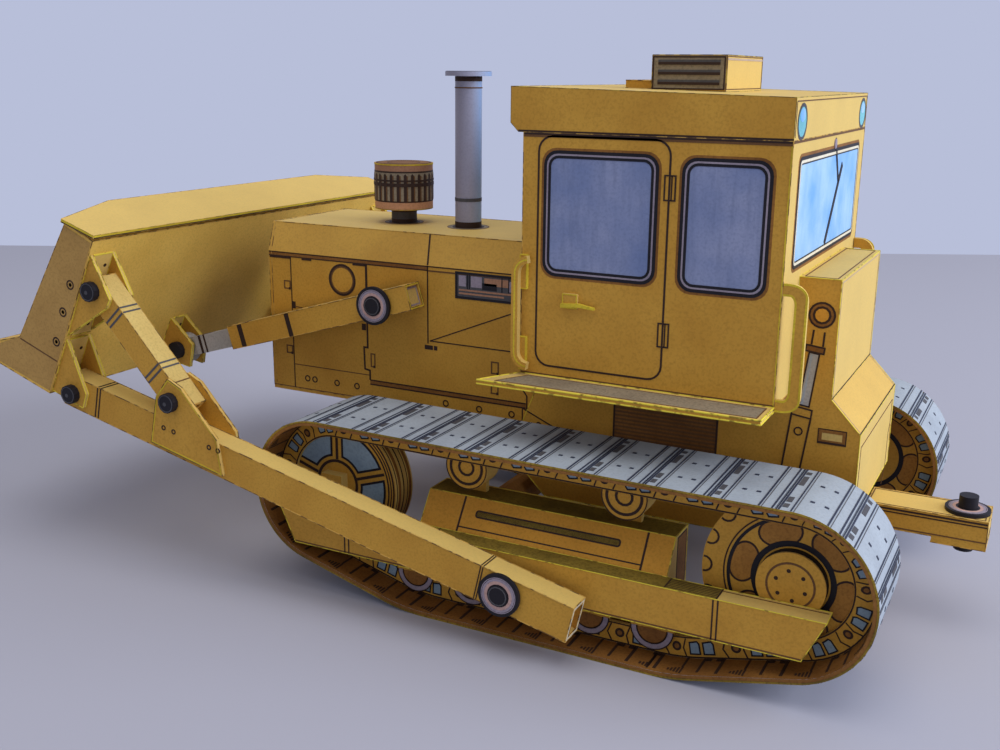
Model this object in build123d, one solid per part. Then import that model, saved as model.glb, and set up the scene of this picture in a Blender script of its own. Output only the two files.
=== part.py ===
"""Card model of a crawler bulldozer, 1:32, glued from printed card.

Axes: X forward to the blade, Y to the left, Z up, the table at Z = 0.
Everything is laid out from the sprocket axle (X = 0); at the end the whole
model is shifted so that its origin lies on the table, under its middle.
All lengths are in millimetres.
"""
from math import atan2, cos, degrees, hypot, pi, radians, sin
import os

from build123d import *

# ---------------------------------------------------------------- card stock
CARD = 0.6                # folded card of the big boxes
THICK_CARD = 1.0          # card glued double: flanges, brackets, discs
FIT = 0.05                # radial clearance of a pin in its hole
SIDE_PLAY = 0.3           # side clearance between pieces that move
GLUE = 0.02               # gap left between two glued pieces that only touch

# -------------------------------------------------------------------- tracks
WHEEL_BASE = 77.4         # sprocket axle to idler axle
TRACK_GAUGE = 61.0        # middle of one track to middle of the other
SHOE_WIDTH = 17.6
SHOE_CARD = 0.8
SHOE_COUNT = 25
SCORE_DEPTH = 0.14        # scored fold line between two shoes
SCORE_WIDTH = 0.35
SPROCKET_Z = 16.6
SPROCKET_LOOP_R = 12.65   # outside of the shoes round the sprocket
IDLER_Z = 17.4
IDLER_LOOP_R = 12.5
GROUND_REAR = 19.0        # the flat run on the table, from here ...
GROUND_FRONT = 57.0       # ... to here
GROUND_BEND_R = 30.0      # gentle bend from the flat run to the wheels
LINK_HEIGHT = 3.4         # height of the printed link band
LINK_SPACING = 6.6        # between the outer faces of the two link bands
WHEEL_PLAY = 0.08         # between a wheel's rim and the inside of the shoes
TOOTH_COUNT = 18
TOOTH_R = 1.1
ROUND_STEPS = 5           # straight cuts that round off a tooth or roller
PIN_FLATS = 12            # flats of a pin rolled from a strip of card
HUB_R = 4.9
HUB_PROUD = 1.7
CARRIER_R = 3.7
CARRIER_X = (25.6, 52.4)
CARRIER_GAP = 0.3         # under the top run of the shoes
ROLLER_R = 3.4
ROLLER_X = (19.9, 30.2, 40.6, 50.9, 61.3)
ROLLER_Z = 4.9
AXLE_R = 2.6
STUB_SIDE = 4.0           # square stub between the idler and the beam
STAY_WIDTH = 2.6          # card strip that carries a carrier roller

# -------------------------------------------------------------- track frames
FRAME_HALF = 4.5          # from the middle of a track to either side of its frame
BEAM_WIDTH = 3.7
BEAM_INNER_Y = TRACK_GAUGE / 2 + FRAME_HALF
BEAM_OUTER_Y = BEAM_INNER_Y + BEAM_WIDTH
BEAM_BOTTOM = 7.6
BEAM_TOP = 14.0
BEAM_REAR = -6.0          # at the top edge; the ends slant in below
BEAM_FRONT = 85.6
BEAM_END_SLANT = 3.0
FRAME_TOP = 19.0
FRAME_BOTTOM = 9.0
FRAME_REAR = 17.8
FRAME_FRONT = 60.0
FRAME_TOP_INSET = 3.4
FRAME_INNER_Y = TRACK_GAUGE / 2 - FRAME_HALF

# ---------------------------------------------------------------------- body
HOOD_FRONT = 105.9
HOOD_HALF = 13.5
HOOD_TOP_HALF = 11.7
HOOD_TOP = 57.7
SHOULDER_DROP = 5.3       # height of the leaning shoulders
HOOD_SHOULDER = HOOD_TOP - SHOULDER_DROP
HOOD_BOTTOM = 26.2
TANK_HALF = 16.2
TANK_REAR = 0.0
TANK_TOP = 56.7
TANK_KNEE = 38.7
TAIL_REAR = -4.6
TAIL_TOP = 33.9
TAIL_BOTTOM = 15.0
TAIL_CHAMFER = 5.0
BODY_STEP = 51.5          # where the wider body takes over from the hood

# ----------------------------------------------------------------------- cab
CAB_FRONT = 46.4
CAB_REAR = 6.1
CAB_HALF = 26.4
CAB_FLOOR = 39.3
CAB_HEIGHT = 43.0         # floor to roof at the rear edge
FASCIA_HEIGHT = 5.7       # the roof box, down from its upper face
CAB_TOP = CAB_FLOOR + CAB_HEIGHT
FASCIA_BOTTOM = CAB_TOP - FASCIA_HEIGHT
ROOF_RISE = 0.9           # the front edge is this much higher
VISOR = 2.2               # how far the roof stands out over the front
VISOR_CLIP = 1.3          # clipped lower corner of the visor
VENT_REAR = 20.6
VENT_LENGTH = 11.8
VENT_FRONT = VENT_REAR + VENT_LENGTH
VENT_HALF = 10.2
VENT_HEIGHT = 5.7
VENT_TOP = CAB_TOP + VENT_HEIGHT
HATCH_LENGTH = 5.1
HATCH_HALF = 8.0
HATCH_HEIGHT = 1.2
BOARD_OUT = 7.2           # running board, out from the side of the cab
BOARD_NOSE = 4.0          # its slanted front end
RAIL_R = 0.55             # front handrail, a bent rod on two pads
RAIL_STAND = 0.95         # before the front of the cab
RAIL_BEND = 2.6
RAIL_LOW = 40.6
RAIL_HIGH = 57.6
PAD_LENGTH = 5.2
PAD_WIDTH = 1.1
EAR_STAND = 4.2           # rear handrail, a slotted ear
EAR_LOW = 38.6
EAR_HIGH = 57.0
EAR_RIM = 1.2

# ------------------------------------------------------------------ hood top
EXHAUST_X = 70.4
EXHAUST_R = 2.4
EXHAUST_HEIGHT = 27.6
EXHAUST_TOP = HOOD_TOP + EXHAUST_HEIGHT
EXHAUST_CAP_R = 4.15
EXHAUST_CAP = 0.8         # thickness of the cap
CLEANER_X = 84.2
STALK_R = 2.35
STALK_HEIGHT = 2.7
STALK_TOP = HOOD_TOP + STALK_HEIGHT
DRUM_R = 5.4
DRUM_HEIGHT = 8.4
DRUM_TOP = STALK_TOP + DRUM_HEIGHT

# ------------------------------------------------------------------- drawbar
DRAWBAR_REAR = -22.8
DRAWBAR_HALF = 3.8
DRAWBAR_TOP = 19.2
DRAWBAR_HEIGHT = 3.8
FLANGE_LENGTH = 8.0
HITCH_INSET = 3.4         # pin's hole from the end of the drawbar
HITCH_X = DRAWBAR_REAR + HITCH_INSET
HITCH_R = 1.45
HITCH_HEAD = 2.0          # how far the pin stands up over its washer
HITCH_TAIL = 1.6
WASHER_R = 3.4
WASHER = 0.6

# -------------------------------------------------- blade and its push frame
TRUNNION_X = 40.2
TRUNNION_Z = 10.3
PIN_R = 1.7
ARM_GAP = 1.1             # from the outer edge of the shoes to the push arm
ARM_INNER_Y = (TRACK_GAUGE + SHOE_WIDTH) / 2 + ARM_GAP
ARM_WIDTH = 4.2
ARM_HEIGHT = 5.8
ARM_TAIL = 11.5           # behind the trunnion
RAISED = 18.0             # the blade rests this many degrees above the table
ARM_HEAD = 2.4            # in front of the pin at the blade
BOX_END = 1.2             # how deep the open ends of arm and strut are
PIN_PROUD = 1.2           # how far a pin stands out of what it holds
LOW_PIN = (127.2, 2.2)    # where the arm meets the blade, blade on the table
HIGH_PIN = (126.5, 22.5)  # top of the strut
GUSSET_PIN = (105.9, 10.9)
STRUT_HEIGHT = 4.4
STRUT_HEAD = 1.3
STRUT_FOOT = 2.6
BLADE_SIDE = 1.0          # the blade's end stands out beyond the push arm
BLADE_HALF = ARM_INNER_Y + ARM_WIDTH + BLADE_SIDE
BLADE_BACK_TOP = (127.8, 31.2)
BLADE_FRONT_TOP = (134.4, 31.9)
BLADE_FRONT_LOW = (141.1, 7.2)
BLADE_BACK_LOW = (132.1, 0.0)
EDGE_TIP = 151.0
EDGE_THICK = 1.2
MOULD_HOLLOW = 2.6        # how deep the face is curved in
MOULD_DROP = 0.6          # its deepest line lies this much below the middle
END_PLATE = 0.8
COVER_REACH = 4.6         # hexagonal top cover, forward in the middle
COVER_TAPER = 14.3        # from its end to where it is at its deepest
COVER_PROUD = 0.6         # past the blade's back and ends
COVER_LIP = 0.4           # past the blade's front edge
# cheeks of the brackets behind the blade, which its back closes off
STRUT_BRACKET_TOP = 28.4
STRUT_BRACKET_CORNER = (122.5, 22.6)
STRUT_BRACKET_HEEL = (122.9, 20.8)
STRUT_BRACKET_LOW = 12.2
ARM_BRACKET_TOP = 11.4
ARM_BRACKET_CORNER = (124.2, 3.4)
ARM_BRACKET_HEEL = (124.4, 0.6)
ARM_BRACKET_LOW = 0.6
LIFT_BRACKET_TOP = 10.2
LIFT_BRACKET_CORNER = (124.4, 7.2)
LIFT_BRACKET_HEEL = (123.9, 2.6)
LIFT_BRACKET_LOW = 1.4
# gusset cheek on the push arm, seen from its pin
GUSSET = ((2.4, -9.0), (3.2, -0.4), (1.6, 3.6), (-1.4, 3.2), (-10.6, -2.0), (-13.4, -7.6))

# ------------------------------------------------------------- lift cylinder
LIFT_PIVOT_X = 78.4
LIFT_PIVOT_Z = 45.6
LIFT_EYE = (127.4, 4.75)  # rod's eye in its bracket, blade on the table
BARREL_SIZE = 4.4
LIFT_STAND = 1.3          # between the hood and the barrel
LIFT_Y = HOOD_HALF + LIFT_STAND + BARREL_SIZE / 2
BARREL_WALL = 0.35
BARREL_TAIL = 7.0
BARREL_REACH = 34.5
ROD_PLAY = 0.1            # all round the square rod in the square barrel
ROD_INSIDE = 20.0
EYE_R = 2.9
EYE_THICK = 2.4
EYE_NECK = 1.5            # flat part of the rod behind its eye
PIVOT_PROUD = 1.2         # how far the pivot pin stands out of the barrel
EYE_PIN_R = 1.2
EYE_DRIFT = 0.85          # room round the pin in the rod's eye
LIFT_GAP = 3.0            # between the cheeks of the rod's bracket


def box(x0, x1, y0, y1, z0, z1):
    """Upright box between two corners."""
    middle = Pos((x0 + x1) / 2, (y0 + y1) / 2, (z0 + z1) / 2)
    return middle * Box(x1 - x0, y1 - y0, z1 - z0)


def plate_xz(points, y0, y1):
    """Outline in X and Z, extruded across from y0 to y1."""
    outline = Polyline([(x, y0, z) for x, z in points], close=True)
    return extrude(make_face(outline), amount=y1 - y0, dir=(0, 1, 0))


def plate_xy(points, z0, z1):
    """Outline in X and Y, extruded up from z0 to z1."""
    outline = Polyline([(x, y, z0) for x, y in points], close=True)
    return extrude(make_face(outline), amount=z1 - z0, dir=(0, 0, 1))


def rod_y(x, z, radius, y0, y1):
    """Round pin along Y."""
    return Pos(x, (y0 + y1) / 2, z) * Rot(90, 0, 0) * Cylinder(radius, abs(y1 - y0))


def rolled_pin(x, z, radius, y0, y1):
    """Pin along Y rolled from a strip of card, with a flat at each crease."""
    angles = [2 * pi * step / PIN_FLATS for step in range(PIN_FLATS)]
    return plate_xz([(x + radius * cos(angle), z + radius * sin(angle)) for angle in angles], y0, y1)


def rod_z(x, y, radius, z0, z1):
    """Round post along Z."""
    return Pos(x, y, (z0 + z1) / 2) * Cylinder(radius, z1 - z0)


def both_sides(shape):
    """A piece and its mirror image on the other side, as one compound."""
    return Compound(children=[*shape.solids(), *mirror(shape, about=Plane.XZ).solids()])


def turned(point, angle):
    """A point of the blade frame, turned up about the trunnion."""
    x, z = point[0] - TRUNNION_X, point[1] - TRUNNION_Z
    c, s = cos(radians(angle)), sin(radians(angle))
    return TRUNNION_X + c * x - s * z, TRUNNION_Z + s * x + c * z


def raise_blade(shape):
    """Turn a piece drawn with the blade on the table up to its rest."""
    pivot = Pos(TRUNNION_X, 0, TRUNNION_Z)
    return pivot * Rot(0, -RAISED, 0) * pivot.inverse() * shape


# -------------------------------------------------------------------- tracks
def loop_circles(inset):
    """Centre and radius of the four bends of the loop, going round it."""
    return [
        (GROUND_REAR, GROUND_BEND_R, GROUND_BEND_R - inset),
        (GROUND_FRONT, GROUND_BEND_R, GROUND_BEND_R - inset),
        (WHEEL_BASE, IDLER_Z, IDLER_LOOP_R - inset),
        (0.0, SPROCKET_Z, SPROCKET_LOOP_R - inset),
    ]


def loop_spans(inset):
    """Straight runs of the loop as (start, end, angle of the outward normal)."""
    circles = loop_circles(inset)
    spans = []
    for here, there in zip(circles, circles[1:] + circles[:1]):
        dx, dz = there[0] - here[0], there[1] - here[1]
        lean = acos_clamped((here[2] - there[2]) / hypot(dx, dz))
        normal = atan2(dz, dx) - lean
        nx, nz = cos(normal), sin(normal)
        start = (here[0] + here[2] * nx, here[1] + here[2] * nz)
        end = (there[0] + there[2] * nx, there[1] + there[2] * nz)
        spans.append((start, end, normal))
    return spans


def acos_clamped(value):
    """Arc cosine as an angle in radians."""
    return atan2((1 - value * value) ** 0.5, value)


def loop_face(inset, y):
    """The loop's outline as a face in the plane at y."""
    circles = loop_circles(inset)
    spans = loop_spans(inset)
    edges = []
    for number, (start, end, normal) in enumerate(spans):
        edges.append(Line((start[0], y, start[1]), (end[0], y, end[1])))
        cx, cz, radius = circles[(number + 1) % len(circles)]
        following = spans[(number + 1) % len(spans)]
        sweep = (following[2] - normal) % (2 * pi)
        middle = normal + sweep / 2
        apex = (cx + radius * cos(middle), y, cz + radius * sin(middle))
        next_start = following[0]
        edges.append(ThreePointArc((end[0], y, end[1]), apex, (next_start[0], y, next_start[1])))
    return make_face(Wire(edges))


def loop_band(inset, thickness, y0, y1):
    """A closed band that follows the loop."""
    outer = extrude(loop_face(inset, y0), amount=y1 - y0, dir=(0, 1, 0))
    inner = extrude(loop_face(inset + thickness, y0), amount=y1 - y0, dir=(0, 1, 0))
    return outer - inner


def loop_stations(count):
    """Evenly spaced (x, z, angle of the outward normal) round the outside."""
    circles = loop_circles(0.0)
    spans = loop_spans(0.0)
    pieces = []
    for number, (start, end, normal) in enumerate(spans):
        pieces.append(("run", hypot(end[0] - start[0], end[1] - start[1]), start, end, normal))
        sweep = (spans[(number + 1) % len(spans)][2] - normal) % (2 * pi)
        circle = circles[(number + 1) % len(circles)]
        pieces.append(("bend", circle[2] * sweep, circle, sweep, normal))
    total = sum(piece[1] for piece in pieces)
    stations = []
    for index in range(count):
        along = (index + 0.5) * total / count
        for kind, length, first, second, normal in pieces:
            if along <= length:
                break
            along -= length
        share = along / length
        if kind == "run":
            x = first[0] + (second[0] - first[0]) * share
            z = first[1] + (second[1] - first[1]) * share
            stations.append((x, z, normal))
        else:
            angle = normal + second * share
            stations.append((first[0] + first[2] * cos(angle), first[1] + first[2] * sin(angle), angle))
    return stations


def track_shoes():
    """Left track: a closed card band, scored across between its shoes."""
    outer_y = (TRACK_GAUGE + SHOE_WIDTH) / 2
    inner_y = (TRACK_GAUGE - SHOE_WIDTH) / 2
    band = loop_band(0.0, SHOE_CARD, inner_y, outer_y)
    scores = []
    for x, z, normal in loop_stations(SHOE_COUNT):
        score = Box(2 * SCORE_DEPTH, SHOE_WIDTH + 1, SCORE_WIDTH)
        scores.append(Pos(x, TRACK_GAUGE / 2, z) * Rot(0, -degrees(normal), 0) * score)
    return band - scores


def track_links():
    """Left track: the two printed link bands inside the shoes."""
    bands = []
    for side in (1, -1):
        face = TRACK_GAUGE / 2 + side * LINK_SPACING / 2
        y0, y1 = sorted((face, face - side * CARD))
        bands.append(loop_band(SHOE_CARD + GLUE, LINK_HEIGHT, y0, y1))
    return Compound(children=bands)


def link_faces():
    """Y of the free space between the two link bands of the left track."""
    half = LINK_SPACING / 2 - CARD - GLUE
    return TRACK_GAUGE / 2 - half, TRACK_GAUGE / 2 + half


def round_cut(x, z, radius, start, sweep):
    """Points on an arc cut out by hand with a few straight snips."""
    angles = [start + sweep * step / ROUND_STEPS for step in range(ROUND_STEPS + 1)]
    return [(x + radius * cos(angle), z + radius * sin(angle)) for angle in angles]


def sprocket():
    """Left sprocket: toothed outer disc, plain inner disc and the hub cap."""
    inner, outer = link_faces()
    tip_r = SPROCKET_LOOP_R - SHOE_CARD - WHEEL_PLAY
    teeth = []
    for tooth in range(TOOTH_COUNT):
        angle = 2 * pi * tooth / TOOTH_COUNT
        centre_r = tip_r - TOOTH_R
        x, z = centre_r * cos(angle), SPROCKET_Z + centre_r * sin(angle)
        teeth += round_cut(x, z, TOOTH_R, angle - pi / 2, pi)
    wheel = plate_xz(teeth, outer - THICK_CARD, outer)
    wheel += rod_y(0, SPROCKET_Z, HUB_R, outer, outer + HUB_PROUD)
    angles = [2 * pi * (corner + 0.5) / TOOTH_COUNT for corner in range(TOOTH_COUNT)]
    rim = tip_r - TOOTH_R
    inner_disc = plate_xz([(rim * cos(angle), SPROCKET_Z + rim * sin(angle)) for angle in angles],
                          inner, inner + THICK_CARD)
    axle = rolled_pin(0, SPROCKET_Z, AXLE_R, inner + THICK_CARD, outer - THICK_CARD)
    return wheel + inner_disc + axle


def idler():
    """Left idler: a plain drum with a short axle to the beam."""
    inner, outer = link_faces()
    wheel = rod_y(WHEEL_BASE, IDLER_Z, IDLER_LOOP_R - SHOE_CARD - WHEEL_PLAY, inner, outer)
    half = STUB_SIDE / 2
    return wheel + box(WHEEL_BASE - half, WHEEL_BASE + half, outer, BEAM_INNER_Y - GLUE,
                       IDLER_Z - half, IDLER_Z + half)


def carrier_rollers():
    """Left carrier rollers under the top run, each with its stay."""
    inner, outer = link_faces()
    top = SPROCKET_Z + SPROCKET_LOOP_R - SHOE_CARD
    solids = []
    for x in CARRIER_X:
        z = top - CARRIER_GAP - CARRIER_R
        roller = rod_y(x, z, CARRIER_R, inner + THICK_CARD, outer)
        half = STAY_WIDTH / 2
        stay = box(x - half, x + half, inner, inner + THICK_CARD, FRAME_TOP + GLUE, z + half)
        solids += (roller + stay).solids()
    return Compound(children=solids)


def lower_rollers():
    """Left row of track rollers, flat half discs that show under the beam."""
    face = TRACK_GAUGE / 2 + LINK_SPACING / 2 + GLUE
    discs = []
    for x in ROLLER_X:
        outline = round_cut(x, ROLLER_Z, ROLLER_R, pi, pi)
        outline += [(x + ROLLER_R, FRAME_BOTTOM - GLUE), (x - ROLLER_R, FRAME_BOTTOM - GLUE)]
        discs.append(plate_xz(outline, face, face + CARD))
    return Compound(children=discs)


def track_frame():
    """Left track frame: a box with slanted sides over the rollers."""
    top_outer = BEAM_INNER_Y - FRAME_TOP_INSET
    section = [
        (FRAME_INNER_Y, FRAME_BOTTOM), (BEAM_INNER_Y - GLUE, FRAME_BOTTOM),
        (BEAM_INNER_Y - GLUE, BEAM_TOP), (top_outer, FRAME_TOP), (FRAME_INNER_Y, FRAME_TOP),
    ]
    outline = Polyline([(FRAME_REAR, y, z) for y, z in section], close=True)
    return extrude(make_face(outline), amount=FRAME_FRONT - FRAME_REAR, dir=(1, 0, 0))


def beam():
    """Left outer beam, the full length of the track, with slanted ends."""
    outline = [
        (BEAM_REAR, BEAM_TOP), (BEAM_REAR + BEAM_END_SLANT, BEAM_BOTTOM),
        (BEAM_FRONT - BEAM_END_SLANT, BEAM_BOTTOM), (BEAM_FRONT, BEAM_TOP),
    ]
    return plate_xz(outline, BEAM_INNER_Y, BEAM_OUTER_Y)


def cross_axles():
    """Sprocket axle and front cross tube, from one track to the other."""
    reach = link_faces()[0] - GLUE
    rear = rolled_pin(0, SPROCKET_Z, AXLE_R, -reach, reach)
    front_x, front_z = CARRIER_X[1], (FRAME_TOP + FRAME_BOTTOM) / 2
    front = rolled_pin(front_x, front_z, AXLE_R, GLUE - FRAME_INNER_Y, FRAME_INNER_Y - GLUE)
    return rear, front


def washer_pin(x, z, y0, outer, proud):
    """Round pin from y0 to a washer just outside outer, its end rolled card."""
    washer = outer + SIDE_PLAY
    pin = rod_y(x, z, PIN_R, y0, washer) + rod_y(x, z, WASHER_R, washer, washer + WASHER)
    return pin + rolled_pin(x, z, PIN_R, washer + WASHER, outer + proud)


def trunnion():
    """Left trunnion: the pin on the beam that the push arm turns on."""
    return washer_pin(TRUNNION_X, TRUNNION_Z, BEAM_OUTER_Y, ARM_INNER_Y + ARM_WIDTH, PIN_PROUD)


# ---------------------------------------------------------------------- body
def hood_section(inset):
    """Half of the hood's section from the bottom up, as (y, z)."""
    return [
        (HOOD_HALF - inset, HOOD_BOTTOM), (HOOD_HALF - inset, HOOD_SHOULDER),
        (HOOD_TOP_HALF - inset, HOOD_TOP - inset),
    ]


def hood_shell():
    """Sides and top of the hood, one folded card with leaning shoulders."""
    solids = []
    for inset in (0.0, CARD):
        half = hood_section(inset)
        ring = half + [(-y, z) for y, z in reversed(half)]
        outline = Polyline([(CAB_FRONT + GLUE, y, z) for y, z in ring], close=True)
        solids.append(extrude(make_face(outline), amount=HOOD_FRONT - CARD - GLUE - CAB_FRONT - GLUE,
                              dir=(1, 0, 0)))
    return solids[0] - solids[1]


def hood_front():
    """Radiator end of the hood."""
    half = hood_section(0.0)
    ring = half + [(-y, z) for y, z in reversed(half)]
    outline = Polyline([(HOOD_FRONT - CARD, y, z) for y, z in ring], close=True)
    return extrude(make_face(outline), amount=CARD, dir=(1, 0, 0))


def belly_plate():
    """Bottom of the hood."""
    return box(BODY_STEP + GLUE, HOOD_FRONT, -HOOD_HALF, HOOD_HALF,
               HOOD_BOTTOM - GLUE - CARD, HOOD_BOTTOM - GLUE)


def rear_body():
    """Body under the cab with the fuel tank behind it, one closed box."""
    outline = [
        (BODY_STEP, TAIL_BOTTOM + TAIL_CHAMFER), (BODY_STEP, HOOD_BOTTOM - GLUE),
        (CAB_FRONT, CAB_FLOOR - CARD - GLUE), (CAB_REAR - GLUE, CAB_FLOOR - CARD - GLUE),
        (CAB_REAR - GLUE, TANK_TOP), (TANK_REAR, TANK_TOP), (TANK_REAR, TANK_KNEE),
        (TAIL_REAR, TAIL_TOP), (TAIL_REAR, TAIL_BOTTOM + TAIL_CHAMFER),
        (TAIL_REAR + TAIL_CHAMFER, TAIL_BOTTOM), (BODY_STEP - TAIL_CHAMFER, TAIL_BOTTOM),
    ]
    body = plate_xz(outline, -TANK_HALF, TANK_HALF)
    hood_room = box(CAB_FRONT, HOOD_FRONT, -HOOD_HALF - GLUE, HOOD_HALF + GLUE,
                    HOOD_BOTTOM - GLUE, HOOD_TOP)
    for cut in (*cross_axles(), hood_room):
        body -= cut
    return body


# ----------------------------------------------------------------------- cab
def roof_z(x):
    """Height of the roof's upper face at x."""
    share = (x - CAB_REAR) / (CAB_FRONT + VISOR - CAB_REAR)
    return CAB_TOP + ROOF_RISE * share


def roof_outline(inset):
    """Side outline of the roof box, drawn in by inset from its outer faces."""
    rear, front = CAB_REAR + inset, CAB_FRONT + VISOR - inset
    return [
        (rear, FASCIA_BOTTOM + inset), (front - VISOR_CLIP, FASCIA_BOTTOM + inset),
        (front, FASCIA_BOTTOM + inset + VISOR_CLIP), (front, roof_z(front) - inset),
        (rear, roof_z(rear) - inset),
    ]


def cab_walls():
    """The four walls of the cab, folded round from one card."""
    top = FASCIA_BOTTOM - GLUE
    outer = box(CAB_REAR, CAB_FRONT, -CAB_HALF, CAB_HALF, CAB_FLOOR, top)
    return outer - box(CAB_REAR + CARD, CAB_FRONT - CARD, CARD - CAB_HALF, CAB_HALF - CARD,
                       CAB_FLOOR - 1, top + 1)


def cab_roof():
    """Roof box on top of the walls, standing out over the front."""
    outer = plate_xz(roof_outline(0.0), -CAB_HALF, CAB_HALF)
    hollow = plate_xz(roof_outline(CARD), CARD - CAB_HALF, CAB_HALF - CARD)
    return outer - hollow


def cab_floor():
    """Floor of the cab."""
    return box(CAB_REAR, CAB_FRONT, -CAB_HALF, CAB_HALF, CAB_FLOOR - CARD - GLUE / 2, CAB_FLOOR - GLUE / 2)


def roof_vent():
    """Louvred air intake on the roof."""
    outline = [
        (VENT_REAR, roof_z(VENT_REAR) + GLUE), (VENT_FRONT, roof_z(VENT_FRONT) + GLUE),
        (VENT_FRONT, VENT_TOP), (VENT_REAR, VENT_TOP),
    ]
    return plate_xz(outline, -VENT_HALF, VENT_HALF)


def roof_hatch():
    """Low flat lid in front of the air intake."""
    rear, front = VENT_FRONT + GLUE, VENT_FRONT + HATCH_LENGTH
    outline = [
        (rear, roof_z(rear) + GLUE), (front, roof_z(front) + GLUE),
        (front, roof_z(front) + HATCH_HEIGHT), (rear, roof_z(rear) + HATCH_HEIGHT),
    ]
    return plate_xz(outline, -HATCH_HALF, HATCH_HALF)


def running_board():
    """Left running board, level with the cab floor, its nose slanting forward."""
    outer = CAB_HALF + BOARD_OUT
    outline = [
        (CAB_REAR, CAB_HALF + GLUE), (CAB_REAR, outer),
        (CAB_FRONT + BOARD_NOSE, outer), (CAB_FRONT, CAB_HALF + GLUE),
    ]
    return plate_xy(outline, CAB_FLOOR - CARD, CAB_FLOOR)


def strip(points, half):
    """Outline of a strip of even width along an open line of points."""
    sides = ([], [])
    for number, (x, z) in enumerate(points):
        before = points[max(number - 1, 0)]
        after = points[min(number + 1, len(points) - 1)]
        first = atan2(z - before[1], x - before[0]) if number else None
        second = atan2(after[1] - z, after[0] - x) if number < len(points) - 1 else first
        first = second if first is None else first
        middle, reach = (first + second) / 2, half / cos((second - first) / 2)
        sides[0].append((x - reach * sin(middle), z + reach * cos(middle)))
        sides[1].append((x + reach * sin(middle), z - reach * cos(middle)))
    return sides[0] + sides[1][::-1]


def front_handrail():
    """Left front handrail: a bent rail on two pads, just before the cab."""
    side = CAB_HALF + GLUE
    front = CAB_FRONT + RAIL_STAND
    back = CAB_FRONT - PAD_WIDTH
    line = [(back, RAIL_LOW), (front, RAIL_LOW + RAIL_BEND), (front, RAIL_HIGH - RAIL_BEND), (back, RAIL_HIGH)]
    rail = plate_xz(strip(line, RAIL_R), side + CARD, side + CARD + 2 * RAIL_R)
    for low in (RAIL_LOW - RAIL_R, RAIL_HIGH + RAIL_R - PAD_LENGTH):
        rail += box(back, CAB_FRONT, side, side + CARD, low, low + PAD_LENGTH)
    return rail


def ear(inset):
    """Outline of the rear handrail, drawn in from its rim by inset."""
    x0, x1 = CAB_REAR - EAR_STAND + inset, CAB_REAR - GLUE
    low, high, clip = EAR_LOW + inset, EAR_HIGH - inset, EAR_STAND / 2 - inset / 2
    return [
        (x1, low), (x0 + clip, low), (x0, low + clip), (x0, high - clip), (x0 + clip, high), (x1, high),
    ]


def rear_handrail():
    """Left rear handrail: a flat ear with a long slot to hold."""
    y1 = CAB_HALF
    y0 = y1 - THICK_CARD
    slot = [(min(x, CAB_REAR - EAR_RIM), z) for x, z in ear(EAR_RIM)]
    return plate_xz(ear(0.0), y0, y1) - plate_xz(slot, y0 - 1, y1 + 1)


# ------------------------------------------------------------------ hood top
def exhaust():
    """Exhaust pipe with its rain cap."""
    pipe = rod_z(EXHAUST_X, 0, EXHAUST_R, HOOD_TOP + GLUE, EXHAUST_TOP)
    return pipe + rod_z(EXHAUST_X, 0, EXHAUST_CAP_R, EXHAUST_TOP - EXHAUST_CAP, EXHAUST_TOP)


def precleaner():
    """Slatted air pre-cleaner drum on its stalk."""
    stalk = rod_z(CLEANER_X, 0, STALK_R, HOOD_TOP + GLUE, STALK_TOP)
    drum = rod_z(CLEANER_X, 0, DRUM_R, STALK_TOP, DRUM_TOP)
    return stalk + drum


# ------------------------------------------------------------------- drawbar
def drawbar():
    """Box drawbar with a doubled lower flange and the hitch pin's hole."""
    bottom = DRAWBAR_TOP - DRAWBAR_HEIGHT
    bar = box(DRAWBAR_REAR, TAIL_REAR - GLUE, -DRAWBAR_HALF, DRAWBAR_HALF, bottom, DRAWBAR_TOP)
    bar += box(DRAWBAR_REAR, DRAWBAR_REAR + FLANGE_LENGTH, -DRAWBAR_HALF, DRAWBAR_HALF,
               bottom - THICK_CARD, bottom)
    return bar - rod_z(HITCH_X, 0, HITCH_R + FIT, bottom - 5, DRAWBAR_TOP + 5)


def hitch_pin():
    """Rolled hitch pin with its washer."""
    bottom = DRAWBAR_TOP - DRAWBAR_HEIGHT - THICK_CARD
    washer_z = DRAWBAR_TOP + GLUE
    pin = rod_z(HITCH_X, 0, HITCH_R, bottom - HITCH_TAIL, washer_z + WASHER + HITCH_HEAD)
    return pin + rod_z(HITCH_X, 0, WASHER_R, washer_z, washer_z + WASHER)


# ------------------------------------------------------------ blade and arms
def blade_shell():
    """Hollow-faced blade: a closed box with a curved front and end plates."""
    top_x, top_z = BLADE_FRONT_TOP
    low_x, low_z = BLADE_FRONT_LOW
    back = BLADE_BACK_TOP
    foot = BLADE_BACK_LOW
    mid = ((top_x + low_x) / 2 - MOULD_HOLLOW, (top_z + low_z) / 2 - MOULD_DROP)
    y = -BLADE_HALF + END_PLATE
    lines = [
        Line((foot[0], y, foot[1]), (low_x, y, foot[1])),
        Line((low_x, y, foot[1]), (low_x, y, low_z)),
        ThreePointArc((low_x, y, low_z), (mid[0], y, mid[1]), (top_x, y, top_z)),
        Line((top_x, y, top_z), (back[0], y, back[1])),
        Line((back[0], y, back[1]), (foot[0], y, foot[1])),
    ]
    shell = extrude(make_face(Wire(lines)), amount=2 * (BLADE_HALF - END_PLATE), dir=(0, 1, 0))
    outline = [back, BLADE_FRONT_TOP, BLADE_FRONT_LOW, (EDGE_TIP, EDGE_THICK), (EDGE_TIP, 0.0), foot]
    for y0, y1 in ((-BLADE_HALF, END_PLATE - BLADE_HALF), (BLADE_HALF - END_PLATE, BLADE_HALF)):
        shell += plate_xz(outline, y0, y1)
    return raise_blade(shell)


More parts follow.
